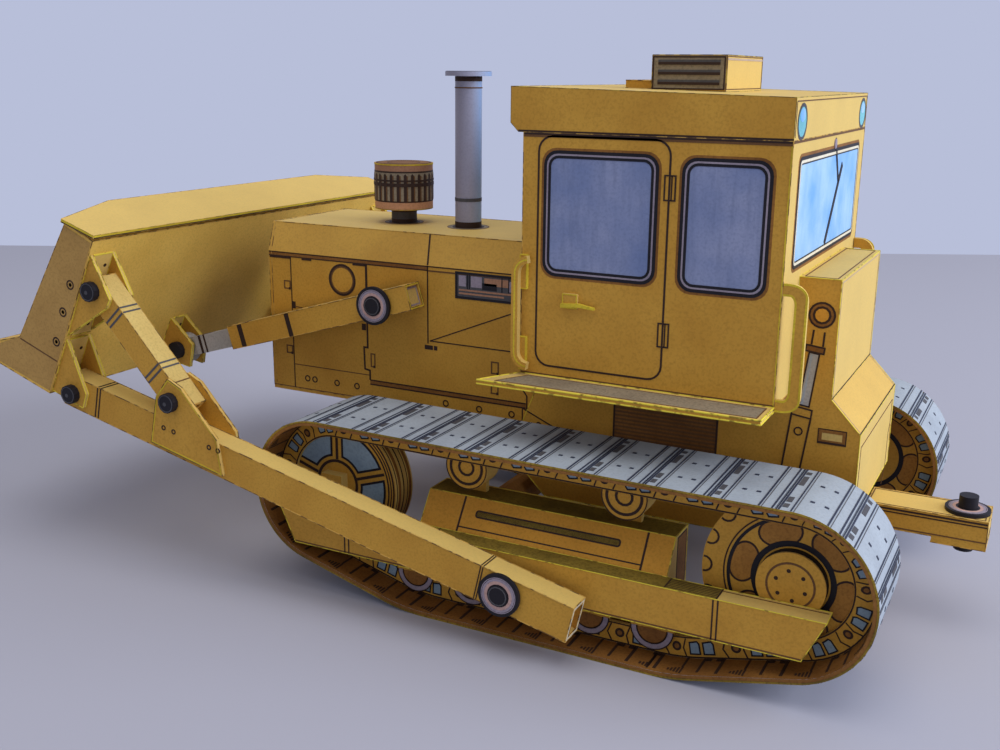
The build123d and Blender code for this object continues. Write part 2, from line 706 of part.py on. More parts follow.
def cutting_edge():
    """Cutting edge between the end plates, flat on the table when lowered."""
    low_x, low_z = BLADE_FRONT_LOW
    inside = BLADE_HALF - END_PLATE - GLUE
    outline = [
        (low_x + GLUE, 0.0), (EDGE_TIP, 0.0), (EDGE_TIP, EDGE_THICK), (low_x + GLUE, low_z),
    ]
    return raise_blade(plate_xz(outline, -inside, inside))


def blade_cover():
    """Six-sided cover on top of the blade, reaching forward in the middle."""
    back_x = BLADE_BACK_TOP[0] - COVER_PROUD
    tip_x = BLADE_FRONT_TOP[0] + COVER_LIP
    half = BLADE_HALF + COVER_PROUD
    mid_half = BLADE_HALF - COVER_TAPER
    low = max(BLADE_BACK_TOP[1], BLADE_FRONT_TOP[1]) + GLUE
    outline = [
        (back_x, -half), (tip_x, -half), (tip_x + COVER_REACH, -mid_half),
        (tip_x + COVER_REACH, mid_half), (tip_x, half), (back_x, half),
    ]
    return raise_blade(plate_xy(outline, low, low + CARD))


def arm_lean():
    """Slope of the push arm with the blade on the table, in degrees."""
    return degrees(atan2(LOW_PIN[1] - TRUNNION_Z, LOW_PIN[0] - TRUNNION_X))


def open_box(length, width, height, open_ends):
    """Folded card box beam along X from 0, its named ends left open."""
    beam_box = box(0, length, -width / 2, width / 2, -height / 2, height / 2)
    hollow_half = (width / 2 - CARD, height / 2 - CARD)
    if "rear" in open_ends:
        beam_box -= box(-1, BOX_END, -hollow_half[0], hollow_half[0], -hollow_half[1], hollow_half[1])
    if "front" in open_ends:
        beam_box -= box(length - BOX_END, length + 1, -hollow_half[0], hollow_half[0],
                        -hollow_half[1], hollow_half[1])
    return beam_box


def push_arm():
    """Left push arm: a box beam with the gusset cheeks that hold the strut."""
    y0, y1 = ARM_INNER_Y, ARM_INNER_Y + ARM_WIDTH
    reach = hypot(LOW_PIN[0] - TRUNNION_X, LOW_PIN[1] - TRUNNION_Z) + ARM_HEAD
    beam_box = open_box(reach + ARM_TAIL, ARM_WIDTH, ARM_HEIGHT, ["rear"])
    arm = Pos(TRUNNION_X, (y0 + y1) / 2, TRUNNION_Z) * Rot(0, -arm_lean(), 0) * Pos(-ARM_TAIL, 0, 0) * beam_box
    cheek = [(GUSSET_PIN[0] + x, GUSSET_PIN[1] + z) for x, z in GUSSET]
    for near, far in ((y1, y1 + CARD), (y0 - CARD, y0)):
        arm += plate_xz(cheek, near, far)
    return raise_blade(arm - rod_y(TRUNNION_X, TRUNNION_Z, PIN_R + FIT, y0 - 1, y1 + 1))


def strut():
    """Left strut from the gusset up to the top of the blade."""
    (x0, z0), (x1, z1) = GUSSET_PIN, HIGH_PIN
    lean = degrees(atan2(z1 - z0, x1 - x0))
    length = hypot(x1 - x0, z1 - z0)
    width = ARM_WIDTH - 2 * GLUE
    bar = Pos(-STRUT_FOOT, 0, 0) * open_box(length + STRUT_FOOT + STRUT_HEAD, width, STRUT_HEIGHT, ["rear"])
    return raise_blade(Pos(x0, ARM_INNER_Y + ARM_WIDTH / 2, z0) * Rot(0, -lean, 0) * bar)


def blade_back_x(z):
    """X of the blade's back at height z, blade on the table."""
    share = (z - BLADE_BACK_LOW[1]) / (BLADE_BACK_TOP[1] - BLADE_BACK_LOW[1])
    return BLADE_BACK_LOW[0] + share * (BLADE_BACK_TOP[0] - BLADE_BACK_LOW[0])


def bracket(middle_y, gap, top_z, corner, heel, low_z):
    """Folded card bracket on the back of the blade: two cheeks and a web."""
    outline = [
        (blade_back_x(top_z) - GLUE, top_z), corner, heel, (blade_back_x(low_z) - GLUE, low_z),
    ]
    web = [
        (blade_back_x(top_z) - GLUE, top_z), (blade_back_x(top_z) - GLUE - CARD / 2, top_z),
        (blade_back_x(low_z) - GLUE - CARD / 2, low_z), (blade_back_x(low_z) - GLUE, low_z),
    ]
    folded = plate_xz(web, middle_y - gap / 2, middle_y + gap / 2)
    for side in (-1, 1):
        near = middle_y + side * gap / 2
        folded += plate_xz(outline, *sorted((near, near + side * CARD)))
    return folded


def blade_brackets():
    """Left brackets: strut, push arm and lift rod are pinned in them."""
    arm_y = ARM_INNER_Y + ARM_WIDTH / 2
    arm_gap = ARM_WIDTH + 2 * GLUE
    brackets = [
        bracket(arm_y, arm_gap, STRUT_BRACKET_TOP, STRUT_BRACKET_CORNER, STRUT_BRACKET_HEEL,
                STRUT_BRACKET_LOW),
        bracket(arm_y, arm_gap, ARM_BRACKET_TOP, ARM_BRACKET_CORNER, ARM_BRACKET_HEEL,
                ARM_BRACKET_LOW),
        bracket(LIFT_Y, LIFT_GAP, LIFT_BRACKET_TOP, LIFT_BRACKET_CORNER, LIFT_BRACKET_HEEL,
                LIFT_BRACKET_LOW),
    ]
    outer = rod_y(*LIFT_EYE, EYE_PIN_R + FIT, LIFT_Y, LIFT_Y + LIFT_GAP)
    brackets[-1] -= outer
    return Compound(children=[raise_blade(piece) for piece in brackets])


def blade_pins():
    """Left pins of the blade: strut top and foot, push arm, and lift rod."""
    face = ARM_INNER_Y + ARM_WIDTH + CARD + 2 * GLUE
    pins = [rolled_pin(x, z, PIN_R, face, face + PIN_PROUD) for x, z in (HIGH_PIN, GUSSET_PIN, LOW_PIN)]
    half = LIFT_GAP / 2
    rod_pin = rod_y(*LIFT_EYE, EYE_PIN_R, LIFT_Y - half + GLUE, LIFT_Y + half + CARD + GLUE)
    head = rolled_pin(*LIFT_EYE, PIN_R, LIFT_Y + half + CARD + GLUE, LIFT_Y + half + CARD + PIN_PROUD)
    pins.append(rod_pin + head)
    return Compound(children=[raise_blade(pin) for pin in pins])


# ------------------------------------------------------------- lift cylinder
def lift_line():
    """Angle and length of the lift cylinder at rest, pivot to rod's eye."""
    eye = turned(LIFT_EYE, RAISED)
    dx, dz = eye[0] - LIFT_PIVOT_X, eye[1] - LIFT_PIVOT_Z
    return degrees(atan2(dz, dx)), hypot(dx, dz)


def along_lift(shape):
    """Lay a piece drawn along +X from the pivot onto the cylinder's line."""
    return Pos(LIFT_PIVOT_X, LIFT_Y, LIFT_PIVOT_Z) * Rot(0, -lift_line()[0], 0) * shape


def lift_barrel():
    """Left lift cylinder barrel: a square card tube, open at both ends."""
    half = BARREL_SIZE / 2
    room = half - BARREL_WALL
    barrel = box(-BARREL_TAIL, BARREL_REACH, -half, half, -half, half)
    barrel -= box(-BARREL_TAIL - 1, BARREL_REACH + 1, -room, room, -room, room)
    return along_lift(barrel - Rot(90, 0, 0) * Cylinder(PIN_R + FIT, BARREL_SIZE + 2))


def lift_rod():
    """Left lift cylinder rod, square, with a flat round eye."""
    length = lift_line()[1]
    start = BARREL_REACH - ROD_INSIDE
    half = BARREL_SIZE / 2 - BARREL_WALL - ROD_PLAY
    neck = length - EYE_R - EYE_NECK
    rod = box(start, neck, -half, half, -half, half)
    rod += box(neck, length, -EYE_THICK / 2, EYE_THICK / 2, -half, half)
    rod += Pos(length, 0, 0) * Rot(90, 0, 0) * Cylinder(EYE_R, EYE_THICK)
    hole = Pos(length, 0, 0) * Rot(90, 0, 0) * Cylinder(EYE_PIN_R + EYE_DRIFT, EYE_THICK + 2)
    return along_lift(rod - hole)


def lift_pivot():
    """Left pivot pin of the lift cylinder, on the side of the hood."""
    outer = LIFT_Y + BARREL_SIZE / 2
    return washer_pin(LIFT_PIVOT_X, LIFT_PIVOT_Z, HOOD_HALF + GLUE, outer, PIVOT_PROUD)


def build():
    """All pieces by node name."""
    rear_axle, front_axle = cross_axles()
    parts = {
        "hood_shell": hood_shell(),
        "hood_front": hood_front(),
        "belly_plate": belly_plate(),
        "rear_body": rear_body(),
        "cab_walls": cab_walls(),
        "cab_roof": cab_roof(),
        "cab_floor": cab_floor(),
        "roof_vent": roof_vent(),
        "roof_hatch": roof_hatch(),
        "running_boards": both_sides(running_board()),
        "handrails_front": both_sides(front_handrail()),
        "handrails_rear": both_sides(rear_handrail()),
        "exhaust": exhaust(),
        "precleaner": precleaner(),
        "drawbar": drawbar(),
        "hitch_pin": hitch_pin(),
        "idlers": both_sides(idler()),
        "sprockets": both_sides(sprocket()),
        "carrier_rollers": both_sides(carrier_rollers()),
        "lower_rollers": both_sides(lower_rollers()),
        "cross_axles": Compound(children=[rear_axle, front_axle]),
        "trunnions": both_sides(trunnion()),
        "lift_pivots": both_sides(lift_pivot()),
        "blade_shell": blade_shell(),
        "blade_cover": blade_cover(),
        "cutting_edge": cutting_edge(),
        "blade_brackets": both_sides(blade_brackets()),
        "blade_pins": both_sides(blade_pins()),
    }
    sided = {
        "track_shoes": track_shoes(),
        "track_links": track_links(),
        "track_frame": track_frame(),
        "beam": beam(),
        "push_arm": push_arm(),
        "strut": strut(),
        "lift_barrel": lift_barrel(),
        "lift_rod": lift_rod(),
    }
    for name, shape in sided.items():
        parts[name + "_left"] = shape
        parts[name + "_right"] = mirror(shape, about=Plane.XZ)
    return parts


os.makedirs("parts", exist_ok=True)
PARTS = build()
rear_reach = DRAWBAR_REAR
front_reach = max(turned(point, RAISED)[0] for point in ((EDGE_TIP, 0.0), (EDGE_TIP, EDGE_THICK)))
MIDDLE = (rear_reach + front_reach) / 2
print("shift", round(MIDDLE, 4), "reach", rear_reach, round(front_reach, 3), "lift", lift_line())
for node, shape in PARTS.items():
    export_step(Pos(-MIDDLE, 0, 0) * shape, "parts/" + node + ".step")
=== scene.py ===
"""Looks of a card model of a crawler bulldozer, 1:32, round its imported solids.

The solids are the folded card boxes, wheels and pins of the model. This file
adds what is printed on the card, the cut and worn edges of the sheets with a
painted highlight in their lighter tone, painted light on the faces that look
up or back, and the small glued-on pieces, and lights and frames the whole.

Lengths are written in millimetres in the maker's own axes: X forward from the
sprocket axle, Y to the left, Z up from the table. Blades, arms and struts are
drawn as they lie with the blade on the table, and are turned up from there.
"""

import logging
from dataclasses import dataclass
from enum import Enum
from math import acos, atan2, ceil, cos, degrees, hypot, pi, radians, sin, tau
from typing import Iterable, Optional, Sequence, Union

import bmesh
import bpy
from mathutils import Matrix, Vector


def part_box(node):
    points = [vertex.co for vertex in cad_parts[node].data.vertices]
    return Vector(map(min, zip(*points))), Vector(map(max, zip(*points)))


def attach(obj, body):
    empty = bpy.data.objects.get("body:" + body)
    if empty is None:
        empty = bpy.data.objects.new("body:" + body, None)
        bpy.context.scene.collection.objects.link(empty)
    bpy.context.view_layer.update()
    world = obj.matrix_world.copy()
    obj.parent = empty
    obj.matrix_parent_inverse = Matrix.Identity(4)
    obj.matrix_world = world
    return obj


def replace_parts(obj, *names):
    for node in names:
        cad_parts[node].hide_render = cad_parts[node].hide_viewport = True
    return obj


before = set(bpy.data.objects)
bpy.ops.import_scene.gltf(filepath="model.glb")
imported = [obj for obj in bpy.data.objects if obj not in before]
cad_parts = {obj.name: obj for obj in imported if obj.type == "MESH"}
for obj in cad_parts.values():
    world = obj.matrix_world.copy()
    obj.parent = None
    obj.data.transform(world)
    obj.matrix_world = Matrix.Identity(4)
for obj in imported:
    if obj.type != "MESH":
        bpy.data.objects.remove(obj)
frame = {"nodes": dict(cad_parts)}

LOG = logging.getLogger("card_bulldozer")
MM = 0.001
SINK = 0.02               # how far printed pieces reach into the card below
LAYER = 0.03              # height of one layer of print
LOOK = "look_"            # how the names of all finishes begin
Point = tuple[float, float]
Triple = tuple[float, float, float]
Rect = tuple[float, float, float, float]   # two ends along and two across
Outline = Sequence[Point]
Rgb = tuple[int, int, int]
Inputs = dict[Union[str, int], object]
Tree, Node, Socket = bpy.types.NodeTree, bpy.types.Node, bpy.types.NodeSocket
Material, Mesh, Piece = bpy.types.Material, bpy.types.Mesh, bpy.types.Object


# ---- finishes
def linear(colour: Rgb) -> tuple[float, float, float, float]:
    """Turn a colour as seen on a screen into the renderer's linear values.

    Args:
        colour: Red, green and blue from 0 to 255.

    Returns:
        The same colour as linear red, green, blue and full alpha.
    """
    def channel(value: int) -> float:
        """One channel, from screen value to light."""
        share = value / 255
        return share / 12.92 if share <= 0.04045 else ((share + 0.055) / 1.055) ** 2.4
    return (*(channel(value) for value in colour), 1.0)


def feed(tree: Tree, node: Node, inputs: Inputs) -> None:
    """Set a node's inputs, or link them where a socket is given.

    Args:
        tree: The node's tree.
        node: The node.
        inputs: Values or sockets by the input's name or number.
    """
    for key, value in inputs.items():
        if isinstance(value, Socket):
            tree.links.new(value, node.inputs[key])
        else:
            node.inputs[key].default_value = value


def add(tree: Tree, kind: str, inputs: Optional[Inputs] = None,
        **settings: object) -> Node:
    """Add a node to a tree.

    Args:
        tree: The tree.
        kind: The node's type.
        inputs: Values or sockets for its inputs, by name or number.
        settings: The node's own properties.

    Returns:
        The node.
    """
    node = tree.nodes.new(kind)
    for key, value in settings.items():
        setattr(node, key, value)
    feed(tree, node, inputs or {})
    return node


def blank(name: str, roughness: float, shine: float = 0.5) -> tuple[Material, Node, Node]:
    """Start a material.

    Args:
        name: Its name.
        roughness: Its roughness.
        shine: Its specular level.

    Returns:
        The material, its shader and a texture coordinate node.
    """
    made = bpy.data.materials.new(name)
    made.use_nodes = True
    tree = made.node_tree
    shader = tree.nodes["Principled BSDF"]
    feed(tree, shader, {"Roughness": roughness, "Specular IOR Level": shine})
    return made, shader, add(tree, "ShaderNodeTexCoord")


@dataclass(frozen=True)
class Noise:
    """A noise on object coordinates, stretched and turned."""

    scale: float               # features per metre
    detail: float              # octaves
    stretch: Triple = (1.0, 1.0, 1.0)
    turn: float = 0.0          # degrees about Y

    def value(self, tree: Tree, place: Node) -> Socket:
        """Add the noise to a tree and hand out its value.

        Args:
            tree: The material's tree.
            place: The node that gives the place.

        Returns:
            The socket with the noise.
        """
        mapping = add(tree, "ShaderNodeMapping", {
            "Vector": place.outputs["Object"], "Scale": self.stretch,
            "Rotation": (0.0, radians(self.turn), 0.0)})
        texture = add(tree, "ShaderNodeTexNoise", {
            "Vector": mapping.outputs["Vector"], "Scale": self.scale, "Detail": self.detail})
        return texture.outputs["Fac"]


DRIFT = Noise(120.0, 3.0)
GRAIN = Noise(2600.0, 2.0)
FIBRES = Noise(900.0, 3.0, (1, 0.35, 1.6))
HATCHING = Noise(700.0, 2.0, (1.8, 1, 0.22), 35.0)
WEAR_AND_GLINT = Noise(650.0, 3.0)
# painted light: the light tone that faces looking up or back turn towards
PAINTED_LIGHT_TONE: Rgb = (238, 222, 144)


def ramp(tree: Tree, factor: Socket,
         stops: Sequence[tuple[float, Sequence[float]]]) -> Socket:
    """Turn a value into a colour.

    Args:
        tree: Tree to add to.
        factor: The value.
        stops: Places and linear colours, in rising order.

    Returns:
        The socket with the colour.
    """
    node = add(tree, "ShaderNodeValToRGB", {"Fac": factor})
    marks = node.color_ramp.elements
    marks[0].position, marks[1].position = stops[0][0], stops[-1][0]
    for place, _ in stops[1:-1]:
        marks.new(place)
    for mark, (_, tone) in zip(marks, stops):
        mark.color = tone
    return node.outputs["Color"]


def specks(tree: Tree, base: Socket, factor: Socket,
           amount: float, colour: Sequence[float]) -> Socket:
    """Lay specks of a darker colour over the base.

    Args:
        tree: Tree to add to.
        base: Colour underneath.
        factor: Noise whose high values show the specks.
        amount: Strength of the darkest speck.
        colour: The specks' colour.

    Returns:
        The socket with the colour.
    """
    window = add(tree, "ShaderNodeMapRange", {
        "Value": factor, "From Min": 0.45, "From Max": 0.75, "To Max": amount})
    mix = {"Factor": window.outputs["Result"], "A": base, "B": colour}
    return add(tree, "ShaderNodeMix", mix, data_type="RGBA").outputs["Result"]


@dataclass(frozen=True)
class CardFinish:
    """Printed card: mottled colour, paper fibres, printed grain, and painted light on faces that
    look up or back.
    """

    name: str
    colour: Rgb
    shade: Rgb                 # darker tone that the colour drifts towards
    mottle: float = 0.5        # strength of the slow drift
    grain: float = 0.35        # strength of the fine printed grain
    tooth: float = 0.35        # strength of the paper's relief
    roughness: float = 0.62
    streak: float = 0.0        # strength of slanted hatching in the print
    lit_face_paling: float = 0.0        # share of painted light that lightens the faces looking up or back

    def material(self) -> Material:
        """Build the finish once, and hand out the same material afterwards.

        Returns:
            A node material that reads object coordinates.
        """
        made = bpy.data.materials.get(LOOK + self.name)
        if made is not None:
            return made
        made, shader, place = blank(LOOK + self.name, self.roughness, 0.2)
        tree, light, shade = made.node_tree, linear(self.colour), linear(self.shade)
        deepest = [a + (b - a) * self.mottle * 1.6 for a, b in zip(light, shade)]
        dark = (*(0.62 * value for value in shade[:3]), 1.0)
        tone = ramp(tree, DRIFT.value(tree, place), ((0.36, light), (0.86, deepest)))
        tone = specks(tree, tone, GRAIN.value(tree, place), self.grain, dark)
        if self.streak:
            tone = specks(tree, tone, HATCHING.value(tree, place), self.streak, dark)
        # painted light on the faces that look up or back
        if self.lit_face_paling:
            tone = self.paint_light_on_lit_faces(tree, place, tone)
        relief = add(tree, "ShaderNodeBump", {
            "Strength": self.tooth, "Distance": 0.04 * MM, "Height": FIBRES.value(tree, place)})
        feed(tree, shader, {"Base Color": tone, "Normal": relief.outputs["Normal"]})
        return made

    def paint_light_on_lit_faces(self, tree: Tree, place: Node,
              tone: Socket) -> Socket:
        """Paint light on the faces that look up or back: they turn towards a lighter tone.

        Args:
            tree: Tree to add to.
            place: Its texture coordinate node.
            tone: Colour so far.

        Returns:
            The socket with the colour.
        """
        split = add(tree, "ShaderNodeSeparateXYZ", {"Vector": place.outputs["Normal"]}).outputs
        back = add(tree, "ShaderNodeMath", {0: split["X"], 1: -1.0}, operation="MULTIPLY")
        most = add(tree, "ShaderNodeMath", {0: back.outputs["Value"], 1: split["Z"]},
                   operation="MAXIMUM")
        share = add(tree, "ShaderNodeMapRange", {
            "Value": most.outputs["Value"], "From Min": 0.15, "To Max": self.lit_face_paling})
        mix = {"Factor": share.outputs["Result"], "A": tone, "B": linear(PAINTED_LIGHT_TONE)}
        return add(tree, "ShaderNodeMix", mix, data_type="RGBA").outputs["Result"]


class Ink(Enum):
    """Every printed or cut finish of the model."""

    # painted light: this card is drawn lighter on the faces that look up or back
    OCHRE = CardFinish("ochre_card", (206, 158, 64), (184, 134, 48), lit_face_paling=0.42)
    # painted light and shade: a brighter copy of the card for the blade's lit back, and below it a
    # darker copy for its shaded end plates
    BLADE = CardFinish("blade_card", (230, 190, 92), (208, 164, 68), mottle=0.4)
    BLADE_END_SHADE = CardFinish("blade_end_painted_shade", (190, 152, 86), (160, 122, 64))
    GOLD = CardFinish("gold_card", (214, 156, 58), (188, 132, 42))
    BROWN = CardFinish("brown_card", (150, 104, 50), (112, 72, 32), mottle=0.7, grain=0.5)
    DUSK = CardFinish("dusk_print", (176, 132, 104), (140, 100, 76), mottle=0.6)
    RUST = CardFinish("rust_print", (178, 128, 58), (144, 98, 42), mottle=0.8, grain=0.5)
    OLIVE = CardFinish("olive_card", (148, 126, 52), (104, 86, 34), mottle=0.8, grain=0.7,
                       tooth=0.8)
    SHOE = CardFinish("shoe_card", (166, 176, 186), (140, 148, 158), grain=0.25)
    PALE = CardFinish("pale_card", (214, 186, 112), (194, 162, 90))
    GREY = CardFinish("grey_card", (182, 180, 176), (150, 148, 146))
    TREAD = CardFinish("tread_print", (150, 138, 116), (116, 104, 86), grain=0.6, streak=0.2)
    LINE = CardFinish("dark_line", (60, 42, 34), (42, 32, 28), grain=0.2, tooth=0.2)
    SOFT_LINE = CardFinish("brown_line", (112, 80, 50), (90, 62, 38), grain=0.3)
    LILAC = CardFinish("lilac_line", (190, 170, 150), (170, 150, 134), grain=0.2)
    INDIGO = CardFinish("indigo_line", (52, 58, 76), (38, 42, 58), grain=0.2, tooth=0.2)
    SHADOW = CardFinish("shadow_print", (86, 86, 90), (62, 62, 68), mottle=0.7)
    BLACK = CardFinish("black_pin", (34, 32, 38), (22, 21, 26), roughness=0.5)
    GLASS = CardFinish("window_print", (148, 158, 192), (114, 132, 176), mottle=0.8, grain=0.3,
                       streak=0.3, roughness=0.5)
    SKY = CardFinish("sky_print", (170, 206, 238), (112, 170, 232), mottle=0.8, grain=0.1,
                     streak=0.12)
    BLUE = CardFinish("blue_print", (148, 172, 190), (118, 142, 162), mottle=0.8)
    ORANGE = CardFinish("orange_print", (196, 122, 56), (160, 92, 38), mottle=0.8)
    PINK = CardFinish("washer_print", (200, 166, 158), (172, 138, 132))
    STEEL = CardFinish("washer_ring", (160, 150, 164), (130, 120, 136))
    # yellow of the cut card edges, partly a painted highlight where edges catch the light
    CUT_EDGE_HIGHLIGHT = CardFinish("cut_edge_highlight", (226, 204, 60), (180, 152, 44), mottle=0.9, tooth=0.7,
                      roughness=0.75)
    EDGE_DARK = CardFinish("dull_edge", (168, 140, 48), (104, 84, 36), mottle=1.0, grain=0.7)
    WHITE = CardFinish("bare_card", (232, 226, 204), (212, 202, 170))
    LAMP = CardFinish("lamp_print", (128, 196, 206), (92, 160, 176))
    RED = CardFinish("red_band", (196, 146, 110), (166, 118, 86))

    @property
    def material(self) -> Material:
        """The finish's material."""
        return self.value.material()


@dataclass(frozen=True)
class WornEdgeWithHighlight:
    """Fold or cut edge: two tones that take turns along it, the lighter one a painted highlight."""

    name: str
    first: Rgb
    second: Rgb
    share: float               # how much of the edge has the first tone

    def material(self) -> Material:
        """Build the edge's material once, on object coordinates.

        Returns:
            The material, made once.
        """
        made = bpy.data.materials.get(LOOK + self.name)
        if made is None:
            made, shader, place = blank(LOOK + self.name, 0.7, 0.3)
            middle, soft = 0.35 + 0.3 * self.share, 0.04
            stops = ((middle - soft, linear(self.first)), (middle + soft, linear(self.second)))
            tree = made.node_tree
            feed(tree, shader, {"Base Color": ramp(tree, WEAR_AND_GLINT.value(tree, place), stops)})
        return made


class Edge(Enum):
    """How the edges of a piece of card look: worn, with a painted highlight in their lighter tone.
    """

    # the lighter tone of each edge is a painted highlight
    FOLD = WornEdgeWithHighlight("fold_edge", (112, 84, 46), (200, 160, 78), 0.45)
    CUT = WornEdgeWithHighlight("yellow_cut_with_highlight", (226, 208, 66), (150, 128, 44), 0.75)
    DARK = WornEdgeWithHighlight("dark_fold", (92, 74, 40), (186, 164, 66), 0.6)


@dataclass(frozen=True)
class PipeFinish:
    """Rolled tube with printed light and shade running round it."""

    name: str
    axis: Point                # X and Y of the tube's axis, in metres
    # share of the way round, from the back by the right side, and its tone
    tones: tuple[tuple[float, Rgb], ...] = (
        (0.0, (146, 176, 222)), (0.12, (150, 160, 184)), (0.5, (150, 148, 166)),
        (0.72, (140, 138, 156)), (0.86, (158, 160, 184)), (1.0, (146, 176, 222)))

    def material(self) -> Material:
        """Build the tube's material, shaded by the angle round the axis.

        Returns:
            The material.
        """
        made, shader, place = blank(self.name, 0.5)
        tree = made.node_tree
        centred = add(tree, "ShaderNodeMapping", {
            "Vector": place.outputs["Object"], "Location": (-self.axis[0], -self.axis[1], 0.0)})
        split = add(tree, "ShaderNodeSeparateXYZ", {"Vector": centred.outputs["Vector"]}).outputs
        angle = add(tree, "ShaderNodeMath", {0: split["Y"], 1: split["X"]}, operation="ARCTAN2")
        turn = add(tree, "ShaderNodeMapRange", {
            "Value": angle.outputs["Value"], "From Min": -pi, "From Max": pi})
        stops = [(share, linear(tone)) for share, tone in self.tones]
        tone = ramp(tree, turn.outputs["Result"], stops)
        tone = specks(tree, tone, GRAIN.value(tree, place), 0.15, linear((90, 90, 104)))
        feed(tree, shader, {"Base Color": tone})
        return made


# ---- surfaces
@dataclass(frozen=True)
class Axes:
    """The maker's axes: millimetres from the sprocket axle, on the table."""

    shift: float               # X of the sprocket axle in the shared frame, mm

    def point(self, x: float, y: float, z: float) -> Vector:
        """Place of a point in the shared frame, in metres."""
        return Vector(((x + self.shift) * MM, y * MM, z * MM))


def maker_axes() -> Axes:
    """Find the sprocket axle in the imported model.

    Returns:
        The axes that start there.
    """
    low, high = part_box("sprockets")
    return Axes((low[0] + high[0]) / 2 / MM)


AXES = maker_axes()


class Surface:
    """Something to print on: two coordinates along it and one off it."""

    step = 0.0                 # longest cut along u on a curved surface, 0 if flat

    def point(self, u: float, v: float, lift: float) -> Vector:
        """Place of a printed point in the shared frame."""
        raise NotImplementedError

    def handed(self, u: float, v: float) -> float:
        """Positive where u, v and the outward side are right-handed.

        Args:
            u: Place along the surface.
            v: Place across it.

        Returns:
            A number whose sign tells which.
        """
        here = self.point(u, v, 0.0)
        along = self.point(u + 0.01, v, 0.0) - here
        across = self.point(u, v + 0.01, 0.0) - here
        return along.cross(across).dot(self.point(u, v, 0.01) - here)


@dataclass(frozen=True)
class Flat(Surface):
    """A flat face of a folded card box."""

    origin: Vector
    along: Vector
    up: Vector
    out: Vector

    def point(self, u: float, v: float, lift: float) -> Vector:
        """Place of a printed point in the shared frame."""
        place = self.origin + self.along * u + self.up * v + self.out * lift
        return AXES.point(*place)


@dataclass(frozen=True)
class Drawing:
    """A side drawing: a plane in X and Z, shifted and turned."""

    x: float = 0.0
    z: float = 0.0
    angle: float = 0.0         # degrees, positive lifts the front end

    def axes(self) -> tuple[Vector, Vector]:
        """Directions along the drawing and up it."""
        c, s = cos(radians(self.angle)), sin(radians(self.angle))
        return Vector((c, 0, s)), Vector((-s, 0, c))

    def spot(self, a: float, b: float) -> Point:
        """X and Z of a point of the drawing."""
        c, s = cos(radians(self.angle)), sin(radians(self.angle))
        return self.x + c * a - s * b, self.z + s * a + c * b

    def side(self, y: float) -> Flat:
        """The face at y, looking outwards: u and v are the drawing's own."""
        return Flat(Vector((self.x, y, self.z)), *self.axes(), Vector((0, 1 if y >= 0 else -1, 0)))

    def inner_side(self, y: float) -> Flat:
        """The face at y, looking towards the middle of the machine."""
        flat = self.side(y)
        return Flat(flat.origin, flat.along, flat.up, -flat.out)

    def top(self, b: float, sign: float = 1.0) -> Flat:
        """The face at height b: u runs along the drawing and v is Y."""
        (x, z), (along, up) = self.spot(0.0, b), self.axes()
        return Flat(Vector((x, 0, z)), along, Vector((0, 1, 0)), up * sign)

    def end(self, a: float, sign: float) -> Flat:
        """The face across at a: u is Y and v runs up the drawing."""
        (x, z), (along, up) = self.spot(a, 0.0), self.axes()
        return Flat(Vector((x, 0, z)), Vector((0, 1, 0)), up, along * sign)


UPRIGHT = Drawing()


@dataclass(frozen=True)
class Round(Surface):
    """Outside of a tube or wheel: u goes round in millimetres, v along its axis."""

    centre: Point              # X and Y of an upright tube, X and Z of a wheel along Y
    radius: float
    upright: bool = True
    step: float = 0.8

    def point(self, u: float, v: float, lift: float) -> Vector:
        """Place of a printed point in the shared frame.

        Args:
            u: Millimetres round the outside.
            v: Place along the axis.
            lift: Distance outwards.

        Returns:
            The point, in metres.
        """
        angle, reach = u / self.radius, self.radius + lift
        x, other = self.centre[0] + reach * cos(angle), self.centre[1] + reach * sin(angle)
        return AXES.point(x, other, v) if self.upright else AXES.point(x, v, other)


